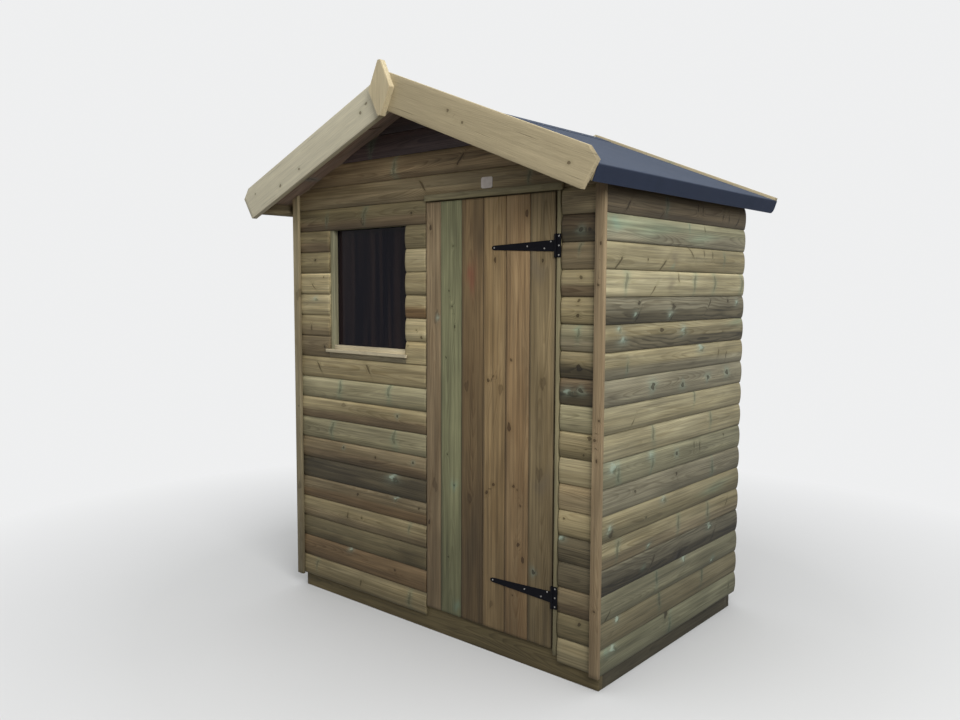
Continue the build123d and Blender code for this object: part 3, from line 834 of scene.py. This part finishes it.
# The door's boards from the latch side, with heights above the ground
DOOR_BOARDS = read_boards("""
    rose 0.95: long 1.794 0.32 0.7, soft 1.413 0.75 1, ring 1.41 0.8 0.7, soft 0.673 0.6 1, long 0.5 0.2 0.6;
    mint 1.10: dot 1.717 0.6 1, dot 1.527 0.4 0.8, dot 1.46 0.55 1, long 1.378 0.68 0.4, dot 1.241 0.26 0.8,
        dot 0.821 0.33 0.8, teal 0.691 0.66 1, dot 0.691 0.66 0.9, dot 0.365 0.37 1, teal 0.16 0.8 1.2;
    amber 0.80: stain 1.59 0.45 1, soft 1.127 0.25 0.8, soft 0.648 0.4 0.8, shade 0.4 0.5 3,
        shade 1.75 0.9 1.5;
    honey 0.95: long 1.655 0.52 0.6, knot 1.162 0.25 0.6, dot 1.176 0.47 1.2, soft 1.13 0.8 0.8,
        knot 0.725 0.5 0.6, knot 0.69 0.2 0.7, soft 0.219 0.42 0.6;
    copper 1.05: long 1.823 0.85 0.8, dot 1.249 0.24 1.2, long 0.973 0.18 1, knot 0.739 0.38 0.6,
        dot 0.727 0.52 1, dot 0.664 0.68 1, knot 0.502 0.6 0.7, long 0.446 0.8 0.8, dot 0.283 0.37 0.8;
    acorn 0.90: long 1.644 0.52 0.5, grey 1.613 0.3 1.2, soft 1.17 0.57 0.9, soft 0.807 0.46 1,
        grey 0.77 0.6 1, ring 0.406 0.26 0.9
""")

# Marks on the front right corner batten, with heights above the ground, and on the front bargeboards
BATTEN_MARKS = read_marks("dot 0.978 0.3 1.2, dot 1.052 0.7 1, long 0.9 0.5 0.4, dot 0.323 0.5 1,"
                          "dot 1.55 0.4 1, long 1.7 0.6 0.4")
RIGHT_BARGE_MARKS = read_marks("dot 0.375 0.59 1.3, dot 0.464 0.44 1, dot 0.988 0.46 1.2")
LEFT_BARGE_MARKS = read_marks("dot 0.179 0.48 1.5, dot 0.131 0.6 1, dot 0.645 0.33 1.2, dot 0.805 0.29 1.4,"
                              "dot 1 0.66 0.8")

FRONT_AXES = Axes(Vector((0, FRONT, 0)), X, Z, -Y)
BACK_AXES = Axes(Vector((0, BACK, 0)), X, Z, Y)
RIGHT_AXES = Axes(Vector((SIDE, FRONT, 0)), Y, Z, X)
LEFT_AXES = Axes(Vector((-SIDE, FRONT, 0)), Y, Z, -X)
FRONT_TINT = (1.06, 1.0, 0.94)


def lap_board(timbers, axes, course, start, end, board, high=COURSE, step=FINE):
    """One log-lap board of a wall, whole or cut down in height."""
    tone, light, marks = board
    lifted = axes._replace(origin=axes.origin + Z * (CLAD_LOW + course * COURSE))
    tint = FRONT_TINT if axes is FRONT_AXES else (1.0, 1.0, 1.0)
    timbers.board(lifted, lap_section(high), start, end, tone, marks, light, step, DAMP_AND_PAINTED_SHADE, LAP_PAINTED_LIGHT, tint=tint)


def plain_board(timbers, place, start, end):
    """A board that the photograph doesn't show, in one of the plain tones."""
    return PLAIN_TONES[place % len(PLAIN_TONES)], None, random_marks(timbers.random, start, end)


def side_walls():
    total = RIDGE_UNDER - SIDE * RISE - CLAD_LOW
    for name, axes, seed, step in (("right_wall", RIGHT_AXES, 3, FINE), ("left_wall", LEFT_AXES, 4, COARSE)):
        timbers = Timbers(name + "_boards", seed)
        for course, board in enumerate(SIDE_BOARDS):
            if name == "left_wall":
                board = plain_board(timbers, course * 7 + 2, 0.0, SIDE_DEPTH)
            high = min(COURSE, total - course * COURSE)
            lap_board(timbers, axes, course, 0.0, SIDE_DEPTH, board, high, step)
        timbers.finish("cladding", name)


GABLE_GAP = 0.004


def gable_boards(timbers, axes, boards, step):
    for course, board in enumerate(boards, COURSES_UNDER_GABLE):
        to_ridge = RIDGE_UNDER - CLAD_LOW - course * COURSE

        def right(across, to_ridge=to_ridge):
            return min(CLAD_END, max((to_ridge - across) / RISE, 0.0))

        def left(across, right=right):
            return -right(across)
        lap_board(timbers, axes, course, left, right, board, min(COURSE, to_ridge - GABLE_GAP), step)


def front_wall():
    timbers = Timbers("front_wall_boards", 5)
    for course, board in enumerate(FRONT_BOARDS):
        lap_board(timbers, FRONT_AXES, course, -CLAD_END, LATCH_END, board)
    for course, (left, right) in enumerate(zip(LEFT_OF_WINDOW, RIGHT_OF_WINDOW), WINDOW_COURSE):
        lap_board(timbers, FRONT_AXES, course, -CLAD_END, WINDOW_LEFT, left)
        lap_board(timbers, FRONT_AXES, course, WINDOW_RIGHT, LATCH_END, right)
    under_sill = SILL_LOW - CLAD_LOW - WINDOW_COURSE * COURSE
    lap_board(timbers, FRONT_AXES, WINDOW_COURSE, WINDOW_LEFT, WINDOW_RIGHT, UNDER_WINDOW, under_sill, COARSE)
    lap_board(timbers, FRONT_AXES, COURSES_UNDER_GABLE - 1, -CLAD_END, LATCH_END, OVER_WINDOW)
    for course, board in enumerate(PIER_BOARDS):
        lap_board(timbers, FRONT_AXES, course, PIER_START, CLAD_END, board)
    gable_boards(timbers, FRONT_AXES, GABLE_BOARDS, FINE)
    panels = ("below_window", "left_of_window", "right_of_window", "over_window", "right_of_door")
    timbers.finish("cladding", *("front_wall_" + panel for panel in panels), "front_gable")


def back_wall():
    timbers = Timbers("back_wall_boards", 6)
    for course in range(COURSES_UNDER_GABLE):
        board = plain_board(timbers, course * 3 + 1, -CLAD_END, CLAD_END)
        lap_board(timbers, BACK_AXES, course, -CLAD_END, CLAD_END, board, step=COARSE)
    gable = [plain_board(timbers, k, -0.6, 0.6) for k in range(len(GABLE_BOARDS))]
    gable_boards(timbers, BACK_AXES, gable, COARSE)
    timbers.finish("cladding", "back_wall")


BATTEN_WIDTH = 0.042
BATTEN_THICKNESS = 0.016
BATTEN_STEP_ACROSS = 0.014
BATTEN_STEP_ALONG = 0.020


def corner_battens():
    timbers = Timbers("corner_batten_boards", 7)
    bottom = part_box("corner_battens")[0].z
    section = eased_section(BATTEN_WIDTH, BATTEN_THICKNESS, BATTEN_STEP_ACROSS)
    for sign in (1, -1):
        for half, face, out in ((SIDE, FRONT - BATTEN_THICKNESS, -Y), (CLAD_END, BACK + BATTEN_THICKNESS, Y)):
            edge = half - BATTEN_WIDTH if sign > 0 else -half
            at_front = face < 0
            if at_front and sign > 0:
                marks = BATTEN_MARKS
            else:
                marks = random_marks(timbers.random, 0.1, 1.9, 0.5, ("dot", "soft"))

            def top(across, edge=edge):
                return RIDGE_UNDER - abs(edge + across) * RISE
            # The left front batten gets painted light that rises towards its top
            tone, dirt = ("tan", BATTEN_DAMP_AND_PAINTED_LIGHT) if at_front and sign < 0 else ("rose", DAMP_AND_PAINTED_SHADE)
            axes = Axes(Vector((edge, face, 0)), Z, X, out)
            timbers.board(axes, section, bottom, top, tone, marks, 1.0, BATTEN_STEP_ALONG, dirt, wobble=0.0)
    timbers.finish("treated_wood", "corner_battens")


DOOR_COVER = 0.120
DOOR_THICKNESS = 0.011
DOOR_GROOVE = 0.003
DOOR_GAP = 0.0002
DOOR_FACE_STEPS = 9


def door_section(width):
    """A tongued board's section, its face chamfered along both edges."""
    chamfer = DOOR_GROOVE * 0.9
    between = (width - 2 * chamfer) / DOOR_FACE_STEPS
    face = [(chamfer + between * k, 0.0) for k in range(DOOR_FACE_STEPS + 1)]
    back = [(a, -DOOR_THICKNESS) for a in (width, width / 2, 0.0)]
    return [(0.0, -DOOR_GROOVE), *face, (width, -DOOR_GROOVE), *back]


def door_boards():
    low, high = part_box("door_boards")
    timbers = Timbers("door_leaf_boards", 8)
    edges = [low.x] + [high.x - DOOR_COVER * k for k in range(len(DOOR_BOARDS) - 1, -1, -1)]
    for left, right, (tone, light, marks) in zip(edges, edges[1:], DOOR_BOARDS):
        axes = Axes(Vector((left + DOOR_GAP, FRONT, 0)), Z, X, -Y)
        section = door_section(right - left - 2 * DOOR_GAP)
        timbers.board(axes, section, low.z, high.z, tone, marks, light, FINE, DOOR_DAMP_AND_PAINTED_LIGHT, GROOVE_PAINTED_SHADE,
                      wobble=0.0003)
    timbers.finish("door_wood", "door_boards", body="door")


def roof_point(along, above, y, sign=1):
    """A point on a roof slope: down the slope, square to its boards, and along the ridge."""
    x = along * math.cos(SLOPE) + above * math.sin(SLOPE)
    z = RIDGE - along * math.sin(SLOPE) + above * math.cos(SLOPE)
    return Vector((sign * x, y, z))


def slope_ways(sign):
    """Down a roof slope, and square to it."""
    down = Vector((sign * math.cos(SLOPE), 0, -math.sin(SLOPE)))
    return down, Vector((sign * math.sin(SLOPE), 0, math.cos(SLOPE)))


def slope_axes(sign, above, y, out):
    """Axes of a board that runs down a roof slope, with its face the way that out says."""
    down, square = slope_ways(sign)
    return Axes(Vector((0, y, RIDGE)) + square * above, down, square, out)


ROOF_BOARD_COUNT = 15
ROOF_BOARD_GAP = 0.0004
ROOF_BOARD_CHAMFER = (0.003, 0.002)
# Painted light on the roof boards' underside under the overhang: lighter, and tinted blue as painted skylight
ROOF_PAINTED_LIGHT = 1.5
ROOF_PAINTED_SKY_TINT = (1.0, 1.02, 1.45)


def roof_boards():
    width = (ROOF_FAR - ROOF_NEAR) / ROOF_BOARD_COUNT
    inward, upward = ROOF_BOARD_CHAMFER
    left = [(inward, -ROOF_BOARD), (ROOF_BOARD_GAP, upward - ROOF_BOARD), (ROOF_BOARD_GAP, 0.0)]
    section = left + [(width - a, o) for a, o in reversed(left)] + [(width / 2, -ROOF_BOARD)]
    for name, sign, seed in (("roof_boards_right", 1, 9), ("roof_boards_left", -1, 10)):
        timbers = Timbers(name + "_planks", seed)
        down, square = slope_ways(sign)
        for k in range(ROOF_BOARD_COUNT):
            axes = Axes(Vector((0, ROOF_NEAR + k * width, RIDGE)), down, Y, square)
            tone = timbers.random.choice(("rose", "amber", "acorn", "rose"))
            marks = random_marks(timbers.random, 0.05, SLOPE_LENGTH)
            timbers.board(axes, section, 0.0, SLOPE_LENGTH, tone, marks, ROOF_PAINTED_LIGHT, tint=ROOF_PAINTED_SKY_TINT)
        timbers.finish("roof_wood", name)


BARGE_WIDTH = 0.145
BACK_BARGE_WIDTH = 0.066
BARGE_THICKNESS = 0.027
BARGE_TOP = 0.0485
BACK_BARGE_TOP = 0.0145
BARGE_END = SLOPE_LENGTH + 0.006
BARGE_CORNER = 0.112
BARGE_CHAMFER_RUN = 0.052
BARGE_HEEL_RUN = 0.022
BARGE_STEP = 0.018
MARK_RELIEF = 0.0007


def barge_section():
    """A front bargeboard's section, with a point across at the corner of its chamfered end."""
    section = eased_section(BARGE_WIDTH, BARGE_THICKNESS, BARGE_STEP)
    for level in (0.0, -BARGE_THICKNESS):
        nearest = min((p for p in section if p[1] == level), key=lambda p: abs(p[0] - BARGE_CORNER))
        section[section.index(nearest)] = (BARGE_CORNER, level)
    return section


def barge_end(across):
    """How far a front bargeboard reaches, at each place across it."""
    if across > BARGE_CORNER:
        return BARGE_END - BARGE_CHAMFER_RUN * (across - BARGE_CORNER) / (BARGE_WIDTH - BARGE_CORNER)
    return BARGE_END - BARGE_HEEL_RUN * (BARGE_CORNER - across) / BARGE_CORNER


def bargeboards():
    """Two at the front with a chamfered lower end, two narrow ones at the back, all mitred at the ridge."""
    front_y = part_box("front_bargeboard_right")[0].y
    front = (BARGE_TOP - BARGE_WIDTH, barge_section(), barge_end, front_y, -Y)
    back_section = eased_section(BACK_BARGE_WIDTH, BARGE_THICKNESS, BARGE_STEP)
    back = (BACK_BARGE_TOP - BACK_BARGE_WIDTH, back_section, SLOPE_LENGTH, BARGE_BACK - MARK_RELIEF, Y)
    boards = (
        ("front_bargeboard_right", 1, front, "planed", RIGHT_BARGE_MARKS),
        ("front_bargeboard_left", -1, front, "ash", LEFT_BARGE_MARKS),
        ("back_bargeboard_right", 1, back, "planed", ()),
        ("back_bargeboard_left", -1, back, "ash", ()),
    )
    for seed, (name, sign, (low, section, end, face_y, out), tone, marks) in enumerate(boards, 20):
        timbers = Timbers(name + "_board", seed)

        def start(across, low=low):
            return -(low + across) * math.tan(SLOPE)
        marks = marks or random_marks(timbers.random, 0.1, 1.0)
        axes = slope_axes(sign, low, face_y, out)
        timbers.board(axes, section, start, end, tone, marks, step=0.02, wobble=0.0)
        timbers.finish("trim_wood", name)


def points_and_faces(made):
    """A finished bmesh's points, and its faces as numbers of points."""
    made.verts.index_update()
    points = [v.co.copy() for v in made.verts]
    faces = [tuple(v.index for v in f.verts) for f in made.faces]
    made.free()
    return points, faces


FINIAL_SLICES = 14
FINIAL_KNOT_DROP = 0.075
FINIAL_GRAIN = 17.0


def finial():
    """The pointed board over the front mitre, with eased edges all round."""
    low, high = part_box("front_finial")
    middle = (low + high) / 2
    outline = {(round(v.co.x, 5), round(v.co.z, 5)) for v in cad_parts["front_finial"].data.vertices}
    outline = sorted(outline, key=lambda p: math.atan2(p[1] - middle.z, p[0] - middle.x))
    made = bmesh.new()
    face = made.faces.new([made.verts.new((x, low.y, z)) for x, z in outline])
    for v in bmesh.ops.extrude_face_region(made, geom=[face])["geom"]:
        if isinstance(v, bmesh.types.BMVert):
            v.co.y = high.y
    bmesh.ops.bevel(made, geom=list(made.edges), offset=EASE, segments=2, affect="EDGES")
    for height in places_between(low.z, high.z, (high.z - low.z) / FINIAL_SLICES)[1:-1]:
        geometry = list(made.verts) + list(made.edges) + list(made.faces)
        bmesh.ops.bisect_plane(made, geom=geometry, plane_co=(0, 0, height), plane_no=Z)
    timbers = Timbers("front_finial_board", 30)
    marks = (("long", high.z - FINIAL_KNOT_DROP, 0.5, 0.5, 0.0, 0.0),)
    points, timbers.faces = points_and_faces(made)
    for point in points:
        across = point.x - middle.x
        tone, streak, knot, relief = wood_at(point.z, across, 1.0, high.x - low.x, ("birch", "birch"), marks)
        timbers.add(point, (point.z + FINIAL_GRAIN, across, point.y - low.y), knot, tone, streak)
    timbers.finish("trim_wood", "front_finial")


FRAME_WIDTH = 0.044
FRAME_DEPTH = 0.028


def frame_timbers():
    """The straight framing, floor and window timbers, stick by stick."""
    sticks("front_studs", "framing", 40, ("sawn", "sage", "sawn", "straw"), dirt=DAMP_AND_PAINTED_SHADE)
    sticks("front_rails", "framing", 41, ("sawn", "bone", "sage"))
    sticks("back_studs", "framing", 42, ("sawn", "tan"))
    sticks("back_rails", "framing", 43, ("sawn",))
    sticks("side_studs", "framing", 44, ("sawn", "straw"))
    sticks("floor_joists", "base_wood", 45, ("peat",), wobble=0.0)
    sticks("floor_back_rim", "base_wood", 46, ("peat",), wobble=0.0)
    sticks("threshold_board", "base_wood", 47, ("earth",), dirt=DAMP_AND_PAINTED_SHADE, wobble=0.0)
    sticks("window_beads", "treated_wood", 48, ("sawn",))
    sticks("door_ledges", "door_wood", 49, ("tan", "straw"), body="door")
    sticks("door_head_strip", "treated_wood", 51, ("olive",))


JAMB_GAP = 0.0045


def jamb_strip():
    """A strip a little narrower than its place, with a dark gap beside it."""
    low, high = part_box("door_jamb_strip")
    timbers = Timbers("door_jamb_strip_timber", 50)
    stick(timbers, low, high - X * JAMB_GAP, "olive", light=1.1, dirt=DOOR_DAMP_AND_PAINTED_LIGHT)
    timbers.finish("treated_wood", "door_jamb_strip")


def window_sill():
    """The sill inside the opening, and its nose with a horn at each end."""
    low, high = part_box("window_sill")
    timbers = Timbers("window_sill_timbers", 52)
    stick(timbers, Vector((WINDOW_LEFT, FRONT, low.z)), Vector((WINDOW_RIGHT, high.y, high.z)), "bone")
    stick(timbers, low, Vector((high.x, FRONT, high.z)), "bone", step=FINE)
    timbers.finish("treated_wood", "window_sill")


FLOOR_BOARD_COUNT = 12
FLOOR_BOARD_GAP = 0.0006


def floor_boards():
    low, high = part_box("floor_boards")
    timbers = Timbers("floor_planks", 53)
    width = (high.y - low.y) / FLOOR_BOARD_COUNT
    for k in range(FLOOR_BOARD_COUNT):
        near = low + Y * k * width
        far = Vector((high.x, near.y + width - FLOOR_BOARD_GAP, high.z))
        stick(timbers, near, far, timbers.random.choice(("tan", "straw", "sawn", "brown")))
    timbers.finish("base_wood", "floor_boards")


BRACE_WIDTH = 0.070


def door_braces():
    """Two braces with level ends, each rising from the hinge side."""
    timbers = Timbers("door_brace_timbers", 54)
    for low, high in solids("door_braces"):
        run = Vector((low.x + BRACE_WIDTH - high.x, 0, high.z - low.z))
        along = run.normalized()
        axes = Axes(Vector((high.x - BRACE_WIDTH, high.y, low.z)), along, Vector((along.z, 0, -along.x)), Y)

        def foot(across, lean=along.x / along.z):
            return across * lean

        def head(across, foot=foot, length=run.length):
            return length + foot(across)
        timbers.board(axes, eased_section(BRACE_WIDTH * along.z, high.y - low.y), foot, head, "tan")
    timbers.finish("door_wood", "door_braces", body="door")


def gable_frames():
    """Two sloping members and a king post over the head rail, at the front and the back."""
    under = -ROOF_BOARD - FRAME_WIDTH
    for seed, node in enumerate(("front_gable_frame", "back_gable_frame"), 55):
        low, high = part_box(node)
        timbers = Timbers(node + "_timbers", seed)

        def start(across):
            return -(under + across) * math.tan(SLOPE)

        def end(across, floor=low.z):
            to_rail = (RIDGE + (under + across) * math.cos(SLOPE) - floor) / math.sin(SLOPE)
            return min(to_rail, (CLAD_END - (under + across) * math.sin(SLOPE)) / math.cos(SLOPE))
        for sign in (1, -1):
            axes = slope_axes(sign, under, high.y, Y)
            timbers.board(axes, eased_section(FRAME_WIDTH, high.y - low.y), start, end, "sawn")
        post_top = Vector((FRAME_WIDTH / 2, high.y, RIDGE + under / math.cos(SLOPE)))
        stick(timbers, Vector((-FRAME_WIDTH / 2, low.y, low.z)), post_top, "straw")
        timbers.finish("framing", node)


EAVES_RAIL = (0.028, 0.050)
PURLIN = (0.028, 0.044)
PURLIN_ALONG = 0.540
RIDGE_PURLIN = (0.014, 0.060)


def along_ridge(node, seed, tone, places):
    """Timbers from front to back, each from an origin, its ways across and out, and its section."""
    low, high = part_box(node)
    timbers = Timbers(node + "_timbers", seed)
    for origin, across, out, section in places:
        timbers.board(Axes(origin, Y, across, out), section, low.y, high.y, tone)
    timbers.finish("framing", node)


def roof_rails():
    """Eaves rails, purlins half way up the slopes, the plates on the side walls and the ridge purlin."""
    inner = CLAD_END - FRAME_DEPTH
    plate_boxes = solids("side_plates")
    plate_low = min(low.z for low, high in plate_boxes)
    plate_high = max(high.z for low, high in plate_boxes if low.z < 1.0)
    upper_low = min(low.z for low, high in plate_boxes if low.z > 1.0)
    upper_top = RIDGE_UNDER - inner * RISE
    drop = upper_top - upper_low
    slanted = [(0.0, 0.0), (FRAME_DEPTH, -FRAME_DEPTH * RISE), (FRAME_DEPTH, -drop), (0.0, -drop)]
    flat = eased_section(FRAME_DEPTH, plate_high - plate_low)
    eaves, purlins, plates = [], [], []
    for sign in (1, -1):
        ways = slope_ways(sign)
        for rails, size, lower_edge in ((eaves, EAVES_RAIL, SLOPE_LENGTH), (purlins, PURLIN, PURLIN_ALONG)):
            place = roof_point(lower_edge - size[0], -ROOF_BOARD, 0, sign)
            rails.append((place, *ways, eased_section(*size)))
        for top, section in ((upper_top, slanted), (plate_high, flat)):
            plates.append((Vector((sign * inner, 0, top)), X * sign, Z, section))
    half, depth = RIDGE_PURLIN
    peak = Vector((-half, 0, RIDGE_UNDER))
    pentagon = [(0.0, -half * RISE), (half, 0.0), (2 * half, -half * RISE), (2 * half, -depth), (0.0, -depth)]
    along_ridge("eaves_rails", 57, "sawn", eaves)
    along_ridge("roof_purlins", 58, "sawn", purlins)
    along_ridge("side_plates", 59, "sawn", plates)
    along_ridge("ridge_purlin", 60, "straw", [(peak, X, Z, pentagon)])


FELT_CORNER = 0.006
FELT_CORNER_STEPS = 6
FELT_WAVE = 0.0022
FELT_GAP = 0.0005
FOLD_ROUND = 0.026
LIP_STEP = 0.003
CAP_REACH = 0.110
CAP_WAVE = 0.002


def fold_depth(y):
    """How deep the fold hangs at a place: cut round at its far end."""
    over = clamp((y - BARGE_BACK + FOLD_ROUND) / FOLD_ROUND)
    return FELT_FOLD - 0.001 - FOLD_ROUND * (1 - math.sqrt(1 - over * over))


def fold_line(y, phase):
    """The felt's outside round the eaves and down to its wavy edge, down the slope and square to it."""
    ripple = math.sin(9.0 * y + phase) + 0.6 * math.sin(23.0 * y + 2.0 * phase) + 0.4 * math.sin(51.0 * y)
    outside = SLOPE_LENGTH + FELT
    line = []
    for k in range(FELT_CORNER_STEPS + 1):
        turn = math.pi / 2 * k / FELT_CORNER_STEPS
        line.append((outside - FELT_CORNER * (1 - math.sin(turn)), FELT - FELT_CORNER * (1 - math.cos(turn))))
    for share in (0.3, 0.6, 0.85, 1.0):
        stand = FELT_WAVE * (ripple + 2.0) / 4.0 * share * share
        line.append((outside + stand, (FELT - FELT_CORNER) * (1 - share) - fold_depth(y) * share))
    return line + [(SLOPE_LENGTH, -fold_depth(y))]


def cap_points(y):
    """The ridge cap's points round at a place: the right half, then the left one."""
    edge = CAP_REACH - CAP_WAVE + 0.0015 * math.sin(13.0 * y) + 0.0005 * math.sin(41.0 * y)
    top, low = 2 * FELT, FELT + 0.0001
    half = [(0.006, top - 0.0004), (0.03, top), (0.06, top), (0.09, top)]
    half += [(edge - 0.0015, top), (edge, top - 0.001), (edge, low)]
    right, left = ([roof_point(a, o, y, sign) for a, o in half] for sign in (1, -1))
    return right + [roof_point(0.0, low, y)] + left[::-1]


def felt_piece(name, ring, places, *replaced):
    """A closed ring of points carried along Y, where ring gives the points at each place."""
    rings = [ring(y) for y in places]
    points = [point for ring_points in rings for point in ring_points]
    make_piece(name, points, tube_faces(0, len(rings), len(rings[0])), "felt", "shed", "felt", replaced)


def felt():
    """Each slope's sheet with a soft fold over the eaves, then the cap over the ridge."""
    top = [(-FELT * math.tan(SLOPE), FELT)] + [(SLOPE_LENGTH * k / 10, FELT) for k in range(1, 10)]
    under_roof = places_between(ROOF_NEAR, ROOF_FAR, COARSE)
    for node, sign, phase in (("felt_right", 1, 0.7), ("felt_left", -1, 2.9)):
        def sheet(y, sign=sign, phase=phase):
            line = top + fold_line(y, phase) + [(SLOPE_LENGTH, 0.0), (0.0, 0.0)]
            return [roof_point(a, o, y, sign) for a, o in line]

        def lip(y, sign=sign, phase=phase):
            line = fold_line(y, phase) + [(SLOPE_LENGTH, FELT - FELT_GAP)]
            return [roof_point(a, o, y, sign) for a, o in line]
        felt_piece(node + "_sheet", sheet, under_roof, node)
        felt_piece(node + "_lip", lip, places_between(ROOF_FAR, BARGE_BACK, LIP_STEP))
    felt_piece("felt_ridge_cap_sheet", cap_points, under_roof, "felt_ridge_cap")


# A round head's outline, as shares of its radius and its height, and how many sides it has
HEAD_PROFILE = ((1.0, 0.0), (1.0, 0.35), (0.78, 0.85), (0.42, 1.0), (0.34, 0.55))
HEAD_SIDES = 12


def heads(name, places, out, radius, height, body, slot):
    """Round screw or nail heads with a recess, standing on a surface that faces one way."""
    side = out.orthogonal().normalized()
    other = out.cross(side)
    turns = [2 * math.pi * k / HEAD_SIDES for k in range(HEAD_SIDES)]
    spokes = [side * math.cos(turn) + other * math.sin(turn) for turn in turns]
    points, faces = [], []
    for place in places:
        faces += tube_faces(len(points), len(HEAD_PROFILE), HEAD_SIDES)
        for share, rise in HEAD_PROFILE:
            points += [place + spoke * (radius * share) + out * (height * rise) for spoke in spokes]
    make_piece(name, points, faces, "zinc", body, slot)


# The hinges' screws, across the front and up or down from the middle of the strap
STRAP_SCREWS = ((0.3895, 0.0), (0.557, 0.001), (0.640, -0.009), (0.6706, 0.0165))
PLATE_SCREWS = ((0.7075, -0.036), (0.7075, 0.0), (0.7075, 0.036))
HINGE_THICKNESS = 0.0025
SCREW_RADIUS = 0.0036
SCREW_HEIGHT = 0.0014
NAIL_RADIUS = 0.0045
NAIL_HEIGHT = 0.0009
NAIL_SPACING = 0.11
NAIL_FROM_END = 0.03
NAIL_FROM_EDGE = 0.018


def fixings():
    """Screws in the tee hinges, and clout nails along both edges of the ridge cap."""
    middles = [(low.z + high.z) / 2 for low, high in solids("hinge_straps")]
    face = FRONT - HINGE_THICKNESS
    kinds = (("strap_screws", "door", STRAP_SCREWS), ("plate_screws", "shed", PLATE_SCREWS))
    for name, body, screws in kinds:
        places = [Vector((x, face, z + rise)) for z in middles for x, rise in screws]
        heads(name, places, -Y, SCREW_RADIUS, SCREW_HEIGHT, body, "black_metal")
    rows = places_between(ROOF_NEAR + NAIL_FROM_END, ROOF_FAR - NAIL_FROM_END, NAIL_SPACING)
    for name, sign in (("cap_nails_right", 1), ("cap_nails_left", -1)):
        places = [roof_point(CAP_REACH - NAIL_FROM_EDGE, 2 * FELT, y, sign) for y in rows]
        heads(name, places, slope_ways(sign)[1], NAIL_RADIUS, NAIL_HEIGHT, "shed", "felt")


# The plate's corners, with the distance in front of the wall
PLATE_LOW = Vector((0.3165, -0.0011, 1.9415))
PLATE_HIGH = Vector((0.3765, -0.0001, 1.9865))
PLATE_CORNER = 0.004


def bare_plate():
    """The small white plate over the door, left bare, with rounded corners."""
    made = bmesh.new()
    bmesh.ops.create_cube(made, size=1.0)
    middle, size = (PLATE_LOW + PLATE_HIGH) / 2 + Y * FRONT, PLATE_HIGH - PLATE_LOW
    corners = [e for e in made.edges if e.verts[0].co.y != e.verts[1].co.y]
    for v in made.verts:
        v.co = v.co * size + middle
    bmesh.ops.bevel(made, geom=corners, offset=PLATE_CORNER, segments=4, affect="EDGES")
    make_piece("bare_plate", *points_and_faces(made), "plate", "shed", None)


def seen_directly(g):
    """1 for what the camera sees, also in metal or through glass, and 0 for light that falls on things."""
    rays = ("Is Camera Ray", "Is Glossy Ray", "Is Transmission Ray")
    camera, glossy, through = (g.node("ShaderNodeLightPath", ray) for ray in rays)
    return g.math("MAXIMUM", camera, g.math("MAXIMUM", glossy, through))


def photo_camera():
    scene = bpy.context.scene
    camera = bpy.data.cameras.new("photo_camera")
    camera.sensor_width = SENSOR_MM
    camera.lens = CAMERA_LENS_MM
    camera_object = bpy.data.objects.new("photo_camera", camera)
    turn = Matrix.Rotation(CAMERA_TURN, 4, "Z")
    tilt = Matrix.Rotation(math.pi / 2 + CAMERA_DROP, 4, "X")
    roll = Matrix.Rotation(CAMERA_ROLL, 4, "Z")
    camera_object.matrix_world = Matrix.Translation(CAMERA_PLACE) @ turn @ tilt @ roll
    scene.collection.objects.link(camera_object)
    scene.camera = camera_object


def sky():
    world = bpy.data.worlds.new("plain_sky")
    bpy.context.scene.world = world
    g = Graph(world, "Background")
    up = g.split(g.place("Generated"))[2]
    level = g.math("MAXIMUM", up, 0.0) * (SKY_ZENITH - SKY_HORIZON) + SKY_HORIZON
    seen = seen_directly(g)
    g.set("Color", g.mix(seen, SKY_TINT, BACKDROP))
    g.set("Strength", seen * g.math("SUBTRACT", 1.0, level) + level)


def lamp(name, place, size, share):
    """A soft square lamp, aimed at the shed."""
    light = bpy.data.lights.new(name, "AREA")
    light.size = size
    light.energy = share * math.pi ** 2 * (place - LAMP_TARGET).length_squared
    lamp_object = bpy.data.objects.new(name, light)
    lamp_object.location = place
    lamp_object.rotation_euler = (LAMP_TARGET - place).to_track_quat("-Z", "Y").to_euler()
    bpy.context.scene.collection.objects.link(lamp_object)


def studio_floor():
    """A pale floor that fades into the backdrop."""
    bpy.ops.mesh.primitive_plane_add(size=FLOOR_SIZE)
    floor = bpy.context.object
    floor.name = "studio_floor"
    g = surface("studio_floor")
    place = g.place()
    seen = seen_directly(g)
    away = ((g.far(*g.split(place)[:2]) - FLOOR_NEAR) / (FLOOR_FAR - FLOOR_NEAR)).clamped() * seen
    cloud = g.ramp(g.noise(place, 3.0, 0.8), (0.3, 0.0), (0.7, 1.0))
    shown = g.mix(seen, FLOOR_BOUNCE, g.mix(cloud, FLOOR_SHOWN, tuple(c * FLOOR_SPOTS for c in FLOOR_SHOWN)))
    g.look(g.mix(away, shown, (0.0, 0.0, 0.0)), 0.9, g.math("SUBTRACT", 1.0, away) * 0.2)
    g.set("Emission Color", BACKDROP)
    g.set("Emission Strength", away)
    floor.data.materials.append(g.owner)


def plain_studio():
    """A pale floor, a soft sky and two soft lamps."""
    bpy.context.scene.view_settings.view_transform = "Standard"
    photo_camera()
    sky()
    for name, settings in LAMPS.items():
        lamp(name, **settings)
    studio_floor()


side_walls()
front_wall()
back_wall()
corner_battens()
door_boards()
roof_boards()
bargeboards()
finial()
frame_timbers()
jamb_strip()
window_sill()
floor_boards()
door_braces()
gable_frames()
roof_rails()
felt()
fixings()
bare_plate()
plain_studio()

KEPT_NODES = {"hinge_plates": "black_metal", "hinge_straps": "black_metal", "window_glass": "glass"}
for kept_node, surface_of_node in KEPT_NODES.items():
    paint(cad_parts[kept_node], surface_of_node)
